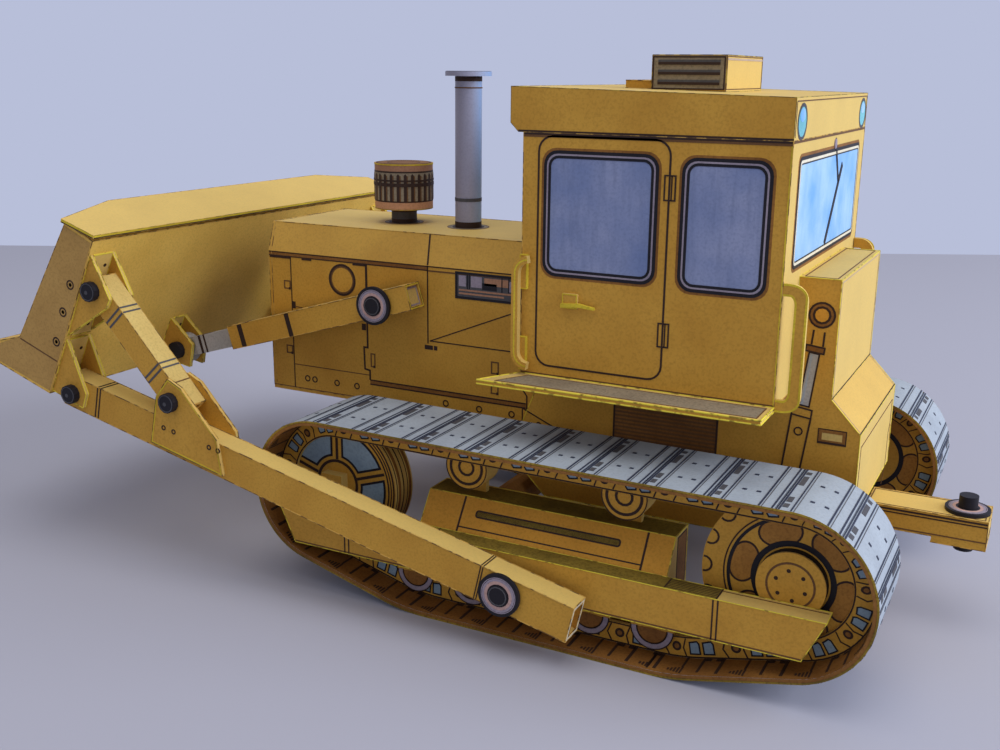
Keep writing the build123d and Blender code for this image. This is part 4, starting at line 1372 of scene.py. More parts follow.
    def radiator(self, sheet: Sheet) -> None:
        """Grille printed on the front end: a frame with close slats.

        Args:
            sheet: Where it is added.
        """
        face = UPRIGHT.end(self.front, 1.0)
        wide, low, high = self.half - 1.6, self.bottom + 2.2, self.shoulder - 1.2
        sheet.box(face, -wide, wide, low, high, 0.4, Ink.LINE, Ink.BROWN, corner=1.0, layer=3)
        sheet.across(face, 0.5, Ink.LINE, low, high, 0, layer=3)
        pitch = (high - low) / (self.slats + 1)
        path = Path(((self.front, 0, low), (self.front, 0, high)), (0, 1, 0))
        slat = bar(-0.16, 0.16, -wide, wide, 3 * LAYER, -3 * LAYER)
        sheet.take(row(path, slat, self.slats, pitch, pitch, Ink.LINE))


EXHAUST_X = 70.4


@dataclass
class HoodTop:
    """Exhaust and pre-cleaner: bands, slats and the shade at their feet."""

    exhaust_r: float = 2.4
    exhaust_top: float = 85.3
    exhaust_shade: float = 3.8
    cap_r: float = 4.15
    cleaner_x: float = 84.2
    cleaner_shade: float = 3.6
    stalk_r: float = 2.35
    drum_r: float = 5.4
    drum_low: float = 60.4
    drum_high: float = 68.8
    foot: float = 57.7
    slats: int = 26
    slat_half: float = 0.28
    # foot and top of the dark bands, from the slats' middle
    slat_bands: tuple[Point, ...] = ((0.15, 0.75), (1.05, 1.35))

    def build(self) -> None:
        """Dress both pipes."""
        sheet, foot = Sheet(), self.foot
        self.feet(sheet, EXHAUST_X, self.exhaust_r, self.exhaust_shade)
        self.bands(sheet, Round((EXHAUST_X, 0.0), self.exhaust_r, step=0.4), (
            (foot + 0.05, foot + 1.1, Ink.LINE), (62.5, 63.1, Ink.SHADOW),
            (82.4, 82.6, Ink.SOFT_LINE), (83.6, 84.4, Ink.LINE)))
        top, centre = UPRIGHT.top(self.exhaust_top), (EXHAUST_X, 0.0)
        sheet.disc(top, centre, self.cap_r - 0.35, Ink.STEEL)
        sheet.ring(top, centre, self.cap_r - 0.3, 0.25, Ink.LINE)
        sheet.finish("dress_exhaust", "chassis", "grey_card")
        self.cleaner()

    def bands(self, sheet: Sheet, tube: Round, spans: Sequence[tuple[float, float, Ink]]) -> None:
        """Print bands all the way round a tube."""
        for layer, (v0, v1, ink) in enumerate(spans):
            sheet.band(tube, 0.0, tau * tube.radius, v0, v1, ink, layer % 3, closed=True)

    def feet(self, sheet: Sheet, x: float, inner: float, outer: float) -> None:
        """Shade printed on the hood round a pipe.

        Args:
            sheet: Where it is added.
            x: The pipe's place.
            inner: The shade's inner radius.
            outer: Its outer radius.
        """
        ground, centre = UPRIGHT.top(self.foot), (x, 0.0)
        sheet.disc(ground, centre, outer, Ink.TREAD)
        sheet.ring(ground, centre, inner + 0.3, 0.5, Ink.LINE)
        sheet.ring(ground, centre, outer, 0.14, Ink.SOFT_LINE)

    def cleaner(self) -> None:
        """Bands and slats round the drum, its lid, and dark rings on the stalk."""
        sheet, centre = Sheet(), (self.cleaner_x, 0.0)
        low, high = self.drum_low, self.drum_high
        self.feet(sheet, self.cleaner_x, self.stalk_r, self.cleaner_shade)
        self.bands(sheet, Round(centre, self.drum_r, step=0.6), (
            (low, low + 1.5, Ink.RED), (low + 1.45, low + 1.75, Ink.LINE),
            (low + 1.7, high - 1.6, Ink.TREAD), (high - 1.3, high, Ink.DUSK),
            (high - 1.6, high - 1.3, Ink.LINE), (high - 0.25, high, Ink.CUT_EDGE_HIGHLIGHT),
            (low, low + 0.2, Ink.CUT_EDGE_HIGHLIGHT)))
        self.bands(sheet, Round(centre, self.stalk_r, step=0.4), (
            (self.foot, low, Ink.SHADOW), (self.foot + 0.1, self.foot + 0.75, Ink.LINE),
            (low - 0.6, low, Ink.LINE)))
        self.drum_slats(sheet, 0.5 * (low + high), 0.5 * (high - low) - 1.7)
        top = UPRIGHT.top(high)
        sheet.disc(top, centre, self.drum_r - 0.2, Ink.BROWN)
        for radius in (self.drum_r - 0.4, 3.0):
            sheet.ring(top, centre, radius, 0.2, Ink.LINE)
        sheet.finish("dress_precleaner", "chassis", "brown_card")

    def drum_slats(self, sheet: Sheet, middle: float, tall: float) -> None:
        """Dark gaps, slat edges and short bands round the drum.

        Args:
            sheet: Where to collect them.
            middle: Height of their middle.
            tall: Half their height.
        """
        half, sunk = self.slat_half, -2 * LAYER
        neck = tall - 0.35
        peak = ((-half, -tall), (half, -tall), (half, neck), (0.0, tall), (-half, neck))
        shapes = [(Mark(peak, sunk, 4 * LAYER), Ink.LINE),
                  (bar(half, 0.5, -tall, tall - 0.4, 4 * LAYER, sunk), Ink.SOFT_LINE)]
        shapes += [(bar(-0.66, 0.66, a, b, 6 * LAYER, sunk), Ink.LINE) for a, b in self.slat_bands]
        route = ring_path((self.cleaner_x, 0.0, middle), self.drum_r)
        pitch = tau * self.drum_r / self.slats
        for shape, ink in shapes:
            sheet.take(row(route, shape, self.slats, 0.0, pitch, ink))


@dataclass
class RearBody:
    """Print on the body under the cab and on the tank behind it."""

    half: float = 16.2
    tank_rear: float = 0.0
    tail_rear: float = -4.6
    tank_top: float = 56.7
    knee: float = 38.7
    tail_top: float = 33.9
    grille: Rect = (17.0, 34.2, 24.6, 34.6)
    slats: int = 15
    cap: Point = (2.4, 51.3)
    # corners of the link plates and of the rod between them
    upper: tuple[Point, ...] = ((4.3, 46.7), (1.6, 46.4), (1.7, 45.5), (4.4, 45.8))
    lower: tuple[Point, ...] = ((5.6, 37.1), (2.7, 36.7), (2.8, 35.4), (5.7, 35.8))
    rod: tuple[Point, ...] = ((3.8, 45.6), (2.3, 45.4), (3.2, 37.2), (4.8, 37.4))
    lamp: Point = (14.2, 19.0)
    panel: tuple[Point, ...] = ((14.6, 22.4), (14.6, 31.6), (-14.6, 31.6), (-14.6, 27.5),
                                (-13.4, 26.0), (-13.4, 20.6), (-11.0, 17.4))

    def build(self) -> None:
        """Print the body and the tank."""
        sheet = Sheet()
        u0, u1, v0, v1 = self.grille
        middle, wide, pitch = (u0 + u1) / 2, (u1 - u0) / 2, (v1 - v0) / (self.slats + 1)
        slat = bar(-0.15, 0.15, -wide, wide, 3 * LAYER, -3 * LAYER)
        for face in both(UPRIGHT.side(self.half)):
            self.gauge(sheet, face)
            sheet.lines(face, 0.22, Ink.LINE, [(50.9, 30.1), (50.9, 20.3)],
                        [(50.8, 30.0), (41.3, 26.0), (41.3, 20.0)])
            sheet.bolt(face, (47.8, 27.5), 0.45)
            sheet.box(face, *self.grille, 0.3, Ink.LINE, Ink.BROWN, layer=3)
            path = Path(((middle, face.origin.y, v0), (middle, face.origin.y, v1)), (1, 0, 0))
            sheet.take(row(path, slat, self.slats, pitch, pitch, Ink.SOFT_LINE))
        self.back(sheet)
        sheet.finish("print_rear_body", "chassis")

    def gauge(self, sheet: Sheet, face: Flat) -> None:
        """Cap, link, rod and post printed on the side of the tank.

        Args:
            sheet: Where they are added.
            face: The side.
        """
        sheet.disc(face, self.cap, 1.9, Ink.BROWN)
        for radius, width in ((1.85, 0.3), (1.2, 0.32)):
            sheet.ring(face, self.cap, radius, width, Ink.LINE)
        sheet.disc(face, self.cap, 1.0, Ink.GOLD, layer=1)
        for shape, ink, layer in ((self.upper, Ink.BROWN, 1), (self.lower, Ink.OCHRE, 1),
                                  (self.rod, Ink.GREY, 0)):
            sheet.fill(face, shape, ink, layer)
            sheet.stroke(face, shape, 0.24, Ink.LINE, closed=True, layer=layer + 1)
        sheet.lines(face, 0.28, Ink.LINE, [(3.4, 49.0), (3.6, 46.8)], [(1.8, 48.8), (1.9, 46.6)],
                    [self.lower[3], (6.9, 24.2)], [self.lower[2], (4.2, 24.2)])
        sheet.lines(face, 0.3, Ink.SHOE, [(3.4, 45.3), (4.3, 37.5)])
        sheet.bolt(face, (4.5, 33.2), 0.6)
        sheet.box(face, -2.3, 1.2, 32.2, 33.8, 0.5, Ink.BROWN, Ink.PALE)
        sheet.box(face, -2.6, 1.5, 31.9, 34.1, 0.16, Ink.LINE)
        sheet.along(face, 0.34, Ink.LINE, -2.5, 1.4, 32.0, layer=2)

    def back(self, sheet: Sheet) -> None:
        """Borders of the tank's top, its back and the sloping knee.

        Args:
            sheet: Where they are added.
        """
        side, half, high = self.half - 0.7, self.half, self.tank_top - 0.5
        sheet.box(UPRIGHT.top(self.tank_top), 0.7, 5.4, -side, side, 0.16, Ink.SOFT_LINE)
        upper = UPRIGHT.end(self.tank_rear, -1.0)
        sheet.across(upper, 0.12, Ink.LILAC, self.knee + 0.2, high, -side, side)
        sheet.along(upper, 0.12, Ink.LILAC, -side, side, high)
        sheet.along(upper, 0.2, Ink.LINE, -half, half, self.knee + 0.1)
        rise, run = self.knee - self.tail_top, self.tank_rear - self.tail_rear
        slant = hypot(rise, run)
        knee = Flat(Vector((self.tail_rear, 0, self.tail_top)), Vector((0, 1, 0)),
                    Vector((run, 0, rise)) / slant, Vector((-rise, 0, run)) / slant)
        sheet.across(knee, 0.12, Ink.LILAC, 0.1, slant - 0.1, -side, side)
        sheet.along(knee, 0.18, Ink.LINE, -half, half, 0.1)
        lower = UPRIGHT.end(self.tail_rear, -1.0)
        sheet.lines(lower, 0.16, Ink.SOFT_LINE, self.panel, [self.panel[0], (15.2, 20.6)])
        sheet.fill(lower, oval(self.lamp, 1.0, 1.5), Ink.PINK)
        sheet.lines(lower, 0.24, Ink.LINE, arc(self.lamp, 1.25, 20, 200, 8))
        sheet.lines(lower, 0.2, Ink.RUST, [(-15.6, 24.0), (-15.2, 27.0)])


@dataclass
class Pane:
    """A printed window: rounded glass in a rubber frame with a light line."""

    u0: float
    u1: float
    v0: float
    v1: float
    corner: float = 2.0
    glass: Ink = Ink.GLASS
    frame: tuple[tuple[float, float, Ink], ...] = ((0.16, 0.5, Ink.BLACK), (0.52, 0.24, Ink.STEEL),
                                                   (0.62, 0.14, Ink.SHOE), (0.86, 0.4, Ink.BLACK))

    def outline(self, inset: float) -> list[Point]:
        """The pane's outline, drawn in by inset."""
        return rounded(self.u0 + inset, self.u1 - inset, self.v0 + inset, self.v1 - inset,
                       max(self.corner - 0.7 * inset, 0.3))

    def draw(self, sheet: Sheet, face: Surface) -> None:
        """Print the pane on a wall.

        Args:
            sheet: Where it is added.
            face: The wall.
        """
        sheet.fill(face, self.outline(-0.45), Ink.BROWN)
        sheet.fill(face, self.outline(0.1), self.glass, layer=1)
        for layer, (inset, width, ink) in enumerate(self.frame):
            sheet.stroke(face, self.outline(inset), width, ink, closed=True, layer=2 + layer % 2)


@dataclass
class Cab:
    """Print on the cab: doors, windows, hinges, wiper, lamps and rails."""

    half: float = 26.4
    rear: float = 6.1
    front: float = 46.4
    floor: float = 39.3
    fascia: float = 76.6
    door: Rect = (23.2, 43.8, 41.0, 76.1)
    panes: tuple[Pane, ...] = (Pane(24.9, 42.8, 55.3, 74.0), Pane(8.5, 21.3, 54.9, 73.8))
    hinges: tuple[Point, ...] = ((22.3, 67.7), (22.3, 46.2))
    hinge_size: Point = (1.6, 3.5)
    handle: Point = (36.8, 50.5)
    # lever's corners, from the handle's own place
    lever: tuple[Point, ...] = ((2.6, 0.1), (2.6, 0.75), (-0.3, 0.95), (-2.9, 0.55), (-2.9, 0.2),
                                (-0.3, 0.4))
    rear_frame: tuple[tuple[float, float, Ink], ...] = (
        (0.25, 0.5, Ink.BLACK), (0.7, 0.4, Ink.WHITE), (1.0, 0.24, Ink.BLACK))

    def build(self) -> None:
        """Print the walls, glue the door handles on and set the rails."""
        sheet, handles = Sheet(), Sheet()
        rear, front, (wide, tall) = self.rear + 0.1, self.front - 0.1, self.hinge_size
        for face in both(UPRIGHT.side(self.half)):
            sheet.stroke(face, rounded(*self.door, 2.2), 0.3, Ink.LINE, closed=True)
            for pane in self.panes:
                pane.draw(sheet, face)
            for u, v in self.hinges:
                sheet.box(face, u, u + wide, v, v + tall, 0.22, Ink.LINE, Ink.OCHRE, layer=3)
                sheet.across(face, 0.2, Ink.LINE, v, v + tall, u + 0.55, layer=3)
            sheet.along(face, 0.3, Ink.LINE, rear, front, self.fascia - 0.2)
            sheet.along(face, 0.36, Ink.SOFT_LINE, rear, front, self.fascia - 0.5)
            sheet.along(face, 0.2, Ink.SOFT_LINE, rear, front, self.floor + 0.25)
            # painted highlight along the cab's rear corner
            sheet.across(face, 0.22, Ink.CUT_EDGE_HIGHLIGHT, self.floor + 0.1, self.fascia - 0.7, rear)
            self.handle_card(handles, face)
        self.ends(sheet)
        sheet.finish("print_cab", "chassis")
        handles.finish("door_handles", "chassis")
        self.front_rails()
        self.rear_rails()

    def handle_card(self, sheet: Sheet, face: Flat) -> None:
        """Little folded plate with a lever, glued on the door.

        Args:
            sheet: Where it is added.
            face: The door's side.
        """
        u, v = self.handle
        sheet.fill(face, rounded(u, u + 2.5, v, v + 2.3, 0.1), Ink.OCHRE, height=0.45)
        sheet.box(face, u + 0.1, u + 2.4, v + 0.1, v + 2.2, 0.16, Ink.CUT_EDGE_HIGHLIGHT, height=0.5)
        sheet.fill(face, [(u + a, v + b) for a, b in self.lever], Ink.CUT_EDGE_HIGHLIGHT, height=0.85, base=0.3)

    def ends(self, sheet: Sheet) -> None:
        """Rear window with its wiper and lamps, and two front windows.

        Args:
            sheet: Where they are added.
        """
        face, front = UPRIGHT.end(self.rear, -1.0), UPRIGHT.end(self.front, 1.0)
        Pane(-22.4, 22.0, 58.4, 74.2, 1.2, Ink.SKY, self.rear_frame).draw(sheet, face)
        sheet.lines(face, 0.8, Ink.BLACK, [(-1.6, 75.6), (-6.1, 68.7)], layer=4)
        sheet.lines(face, 1.1, Ink.BLACK, [(-8.4, 71.4), (0.9, 59.6)], layer=4)
        sheet.disc(face, (-1.7, 74.9), 0.8, Ink.STEEL, layer=5)
        for y in (22.2, -22.8):
            lamp = oval((y, 79.0), 2.6, 2.3)
            sheet.fill(face, lamp, Ink.LAMP)
            sheet.stroke(face, lamp, 0.5, Ink.SHADOW, closed=True)
            sheet.fill(face, oval((y, 79.9), 1.5, 0.9), Ink.SKY, layer=1)
        for sign in (1, -1):
            Pane(*sorted((sign * 1.2, sign * 24.0)), 60.4, 74.4, 1.6).draw(sheet, front)
            sheet.lines(front, 0.6, Ink.BLACK, [(sign * 12.6, 74.3), (sign * 8.4, 63.4)], layer=4)
        for wall in (face, front):
            sheet.along(wall, 0.3, Ink.SOFT_LINE, -26.2, 26.2, self.fascia - 0.25)

    def front_rails(self) -> None:
        """Bent rails before the cab with their feet, in place of the plain ones."""
        sheet = Sheet()
        bow = arc((44.6, 43.0), 2.2, -90, 0, 6) + arc((44.6, 55.4), 2.2, 0, 90, 6)
        line = [(44.7, 40.8), *bow[1:-1], (44.7, 57.6)]
        for face in both(UPRIGHT.side(self.half)):
            sheet.stroke(face, line, 1.1, Ink.OCHRE, height=1.7, base=0.6)
            sheet.stroke(face, line, 0.24, Ink.CUT_EDGE_HIGHLIGHT, height=1.74, base=1.6)
            for low in (40.05, 52.95):
                sheet.plate(face, 45.3, 46.4, low, low + 5.2, Ink.OCHRE, height=0.6)
                sheet.box(face, 45.3, 46.4, low, low + 5.2, 0.14, Ink.CUT_EDGE_HIGHLIGHT, height=0.64)
        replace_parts(sheet.finish("rails_front", "chassis"), "handrails_front")

    def rear_rails(self) -> None:
        """Bent rails behind the cab with pale edges, partly a painted highlight, in place of the
        plain ones.
        """
        sheet, (x, z), bend, tall = Sheet(), (5.0, 48.0), 1.6, 8.4
        bow = (arc((x, z + bend - tall), bend, -90, -180, 6)
               + arc((x, z - bend + tall), bend, 180, 90, 6))
        for face in both(UPRIGHT.side(self.half)):
            for grow, width, ink, height, base in (
                    (0.0, 1.7, Ink.OCHRE, 0.0, -1.0), (-0.74, 0.3, Ink.CUT_EDGE_HIGHLIGHT, 0.03, -0.1),
                    (0.74, 0.3, Ink.CUT_EDGE_HIGHLIGHT, 0.03, -0.1)):
                line = [(x + (u - x) * (1 + grow / bend), z + (v - z) * (1 + grow / tall))
                        for u, v in bow]
                line = [(x + 1.0, z - tall - grow), *line, (x + 1.0, z + tall + grow)]
                sheet.stroke(face, line, width, ink, height=height, base=base)
        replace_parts(sheet.finish("rails_rear", "chassis"), "handrails_rear")


@dataclass
class Roof:
    """Print on the roof box and its air intake."""

    half: float = 26.4
    rear: float = 6.1
    front: float = 48.6
    fascia: float = 76.6
    top_rear: float = 82.3
    rise: float = 0.9
    vent: Triple = (20.6, 32.4, 10.2)      # rear, front, half width
    vent_top: float = 88.0
    louvres: int = 3

    def build(self) -> None:
        """Print the roof and the intake."""
        sheet = Sheet()
        for face in both(UPRIGHT.side(self.half)):
            sheet.along(face, 0.3, Ink.LINE, self.rear, self.front - 1.3, self.fascia + 0.15)
        wide, low, high = self.half - 0.5, self.fascia + 0.4, self.top_rear - 0.5
        sheet.lines(UPRIGHT.end(self.rear, -1.0), 0.16, Ink.SOFT_LINE,
                    [(wide, low), (wide, high), (-wide, high), (-wide, low)])
        self.intake(sheet)
        sheet.finish("print_roof", "chassis")

    def intake(self, sheet: Sheet) -> None:
        """Louvres on both sides of the intake and dark borders.

        Args:
            sheet: Where they are added.
        """
        (rear, front, half), high = self.vent, self.vent_top
        low = self.top_rear + self.rise * (26.0 - self.rear) / (self.front - self.rear) + 0.25
        middle, wide, pitch = (rear + front) / 2, (front - rear) / 2 - 1.0, (high - low) / 3.4
        for face in both(UPRIGHT.side(half)):
            sheet.plate(face, rear + 0.1, front - 0.1, low, high - 0.1, Ink.TREAD)
            sheet.box(face, rear + 0.3, front - 0.2, low, high - 0.3, 0.22, Ink.LINE)
            path = Path(((middle, face.origin.y, low), (middle, face.origin.y, high)), (1, 0, 0))
            for a, b, ink in ((-0.3, 0.1, Ink.LINE), (0.1, 0.42, Ink.SHADOW)):
                shape = bar(a, b, -wide, wide, 5 * LAYER, -5 * LAYER)
                sheet.take(row(path, shape, self.louvres, 0.62 * pitch, pitch, ink))
        back = UPRIGHT.end(rear, -1.0)
        sheet.box(back, -half + 0.2, half - 0.2, low, high - 0.2, 0.14, Ink.SOFT_LINE)
        sheet.along(back, 0.3, Ink.LILAC, -half + 0.3, half - 0.3, high - 0.6)
        sheet.box(UPRIGHT.top(high), rear + 0.3, front - 0.3, -half + 0.3, half - 0.3, 0.14,
                  Ink.SOFT_LINE)


@dataclass
class RunningBoards:
    """Tread panels printed on the boards."""

    inner: float = 26.45
    outer: float = 33.6
    rear: float = 6.1
    front: float = 46.4
    top: float = 39.3
    border: float = 0.9

    def build(self) -> None:
        """Print both boards."""
        sheet, front, outer = Sheet(), self.front, self.outer
        y0, y1 = self.inner + self.border, outer - self.border
        panel = [(self.rear + 0.8, y0), (self.rear + 0.8, y1), (front + 1.2, y1), (front - 1.9, y0)]
        corner = [(front - 1.5, self.inner + 0.5), (front + 1.7, outer - 0.8),
                  (front + 3.3, outer - 0.6), (front, self.inner + 0.5)]
        for face in both(UPRIGHT.top(self.top)):
            sheet.fill(face, panel, Ink.TREAD)
            sheet.stroke(face, panel, 0.2, Ink.SOFT_LINE, closed=True)
            sheet.fill(face, corner, Ink.PALE)
        sheet.finish("print_running_boards", "chassis")


# ---- undercarriage
@dataclass
class TrackPrint:
    """Print on one track's shoes, link bands and inner strips."""

    side: int
    middle: float = 30.5
    half: float = 8.8
    shoe_card: float = 0.8
    link_half: float = 3.3
    shoes: int = 25
    start: float = 1.0         # where the first link lies
    seam: float = 5.2          # where the first shoe's seam lies
    # lines across a shoe, rearwards from its seam: place, width and ink
    grousers: tuple[tuple[float, float, Ink], ...] = (
        (0.0, 0.26, Ink.INDIGO), (0.55, 0.14, Ink.INDIGO), (0.9, 0.26, Ink.INDIGO),
        (2.5, 0.2, Ink.INDIGO), (2.9, 0.1, Ink.SHADOW), (7.6, 0.26, Ink.INDIGO),
        (8.0, 0.1, Ink.SHADOW))
    notches: tuple[Point, ...] = ((-7.6, -6.6), (-5.6, -1.8), (3.4, 5.4), (6.2, 7.6))
    # marks inside a shoe: place and width along it, ends as shares of the strip's width
    inner_marks: tuple[Rect, ...] = (
        (0.0, 0.5, 0.0, 0.86), (0.6, 1.0, 0.0, 0.14), (2.9, 0.42, 0.0, 0.82),
        (2.3, 1.0, 0.0, 0.14), (5.5, 0.36, 0.0, 0.56),
        *((5.4 + 0.5 * n, 0.3, 0.56 + 0.03 * n, 0.92 - 0.03 * n) for n in range(5)))
    # corners of a link's window and of its seams: along the link and in from the shoes
    window: tuple[Point, ...] = ((0.0, 1.5), (1.6, 1.5), (1.6, 3.3), (0.3, 3.5), (0.0, 3.1))
    pin: Point = (7.2, 2.6)
    joints: tuple[tuple[Point, ...], ...] = (((5.7, 1.1), (6.1, 2.4), (5.6, 3.9)),
                                             ((8.5, 1.1), (9.2, 2.4), (8.6, 3.9)))

    def build(self) -> None:
        """Print the outside, the edges, the inner strips and the links."""
        loop = Loop()
        pitch, total = loop.length() / self.shoes, loop.length()
        sheet, links = Sheet(), Sheet()
        self.outside(sheet, self.round_path(loop, 0.0), pitch)
        for sign in (1, -1):
            edge = TrackSide(loop, self.side * (self.middle + sign * self.half), self.side * sign)
            sheet.band(edge, 0.0, total, 0.0, 0.34, Ink.EDGE_DARK, closed=True)
            sheet.band(edge, 0.0, total, 0.3, 0.8, Ink.BROWN, closed=True)
            self.strip(sheet, loop, pitch, sign)
            y = self.side * self.middle + sign * self.link_half
            self.link_band(links, TrackSide(loop, y, sign), total, pitch)
        sheet.finish(named("print_shoes", self.side), "chassis", "shoe_card")
        links.finish(named("print_links", self.side), "chassis")

    def round_path(self, loop: Loop, depth: float) -> Path:
        """The loop as a closed path, top run moving forward, drawn in by depth.

        Args:
            loop: The track's outline.
            depth: How far inside it the path lies.

        Returns:
            The closed path.
        """
        cuts, total, points = 360, loop.length(), []
        for number in range(cuts):
            x, z, normal = loop.station(total * (1 - number / cuts) % total)
            points.append((x - depth * cos(normal), self.side * self.middle,
                           z - depth * sin(normal)))
        return Path(tuple(points), (0, 1, 0), closed=True)

    def rows(self, sheet: Sheet, path: Path, pitch: float,
             marks: Iterable[tuple[float, float, float, float, Ink]], start: float,
             inside: bool = False) -> None:
        """Repeat marks on every shoe.

        Args:
            sheet: Where to collect them.
            path: The loop.
            pitch: Length of a shoe.
            marks: Place and width along the shoe, two places across it and ink.
            start: Where the first of them is measured from.
            inside: Whether they lie on the inside of the shoes.
        """
        high, low = (SINK, -2 * LAYER) if inside else (2 * LAYER, -SINK)
        for s, width, y0, y1, ink in marks:
            y0, y1 = sorted((self.side * y0, self.side * y1))
            shape = bar(-width / 2, width / 2, y0, y1, high, low)
            sheet.take(row(path, shape, self.shoes, (start - s) % pitch, pitch, ink))

    def outside(self, sheet: Sheet, path: Path, pitch: float) -> None:
        """Grouser lines, notches and bolt dashes across every shoe.

        Args:
            sheet: Where they are added.
            path: The belt's outer face.
            pitch: Distance between shoes.
        """
        wide = self.half - 0.05
        marks = [(s, width, -wide, wide, ink) for s, width, ink in self.grousers]
        marks += [(1.5, 0.75, y0, y1, Ink.SHADOW) for y0, y1 in self.notches]
        marks += [(s, 0.62, y - 0.26, y + 0.26, Ink.INDIGO)
                  for s in (4.3, 6.3) for y in (3.6, -3.0)]
        self.rows(sheet, path, pitch, marks, self.seam)

    def strip(self, sheet: Sheet, loop: Loop, pitch: float, sign: int) -> None:
        """Brown inner face of the shoes beside the links, with black marks.

        Args:
            sheet: Where it is added.
            loop: The track's outline.
            pitch: Distance between shoes.
            sign: 1 for the outer strip, -1 for the inner one.
        """
        inner, low, high = TrackFace(loop, self.shoe_card), self.link_half + 0.05, self.half - 0.05
        y0, y1 = sorted(self.side * (self.middle + sign * reach) for reach in (low, high))
        sheet.band(inner, 0.0, loop.length(), y0, y1, Ink.BROWN, closed=True)
        wide, path = high - low, self.round_path(loop, self.shoe_card)
        marks = [(s, width, sign * (low + a * wide), sign * (low + b * wide), Ink.LINE)
                 for s, width, a, b in self.inner_marks]
        self.rows(sheet, path, pitch, marks, self.start, inside=True)

    def link_band(self, sheet: Sheet, face: TrackSide, total: float, pitch: float) -> None:
        """Link plates with their windows, pins and seams on one band.

        Args:
            sheet: Where they are added.
            face: The band.
            total: The band's length.
            pitch: Distance between links.
        """
        for v0, v1 in ((0.86, 1.1), (3.95, 4.18)):
            sheet.band(face, 0.0, total, v0, v1, Ink.LINE, closed=True)
        for number in range(self.shoes):
            start = number * pitch - self.start
            for shift in (1.2, 3.4):
                outline = [(start + shift + u, v) for u, v in self.window]
                sheet.fill(face, outline, Ink.BLUE)
                sheet.stroke(face, outline, 0.24, Ink.BLACK, closed=True)
            pin = (start + self.pin[0], self.pin[1])
            sheet.disc(face, pin, 0.78, Ink.LINE)
            sheet.disc(face, pin, 0.4, Ink.BROWN, layer=1)
            sheet.lines(face, 0.22, Ink.LINE,
                        *([(start + u, v) for u, v in line] for line in self.joints))


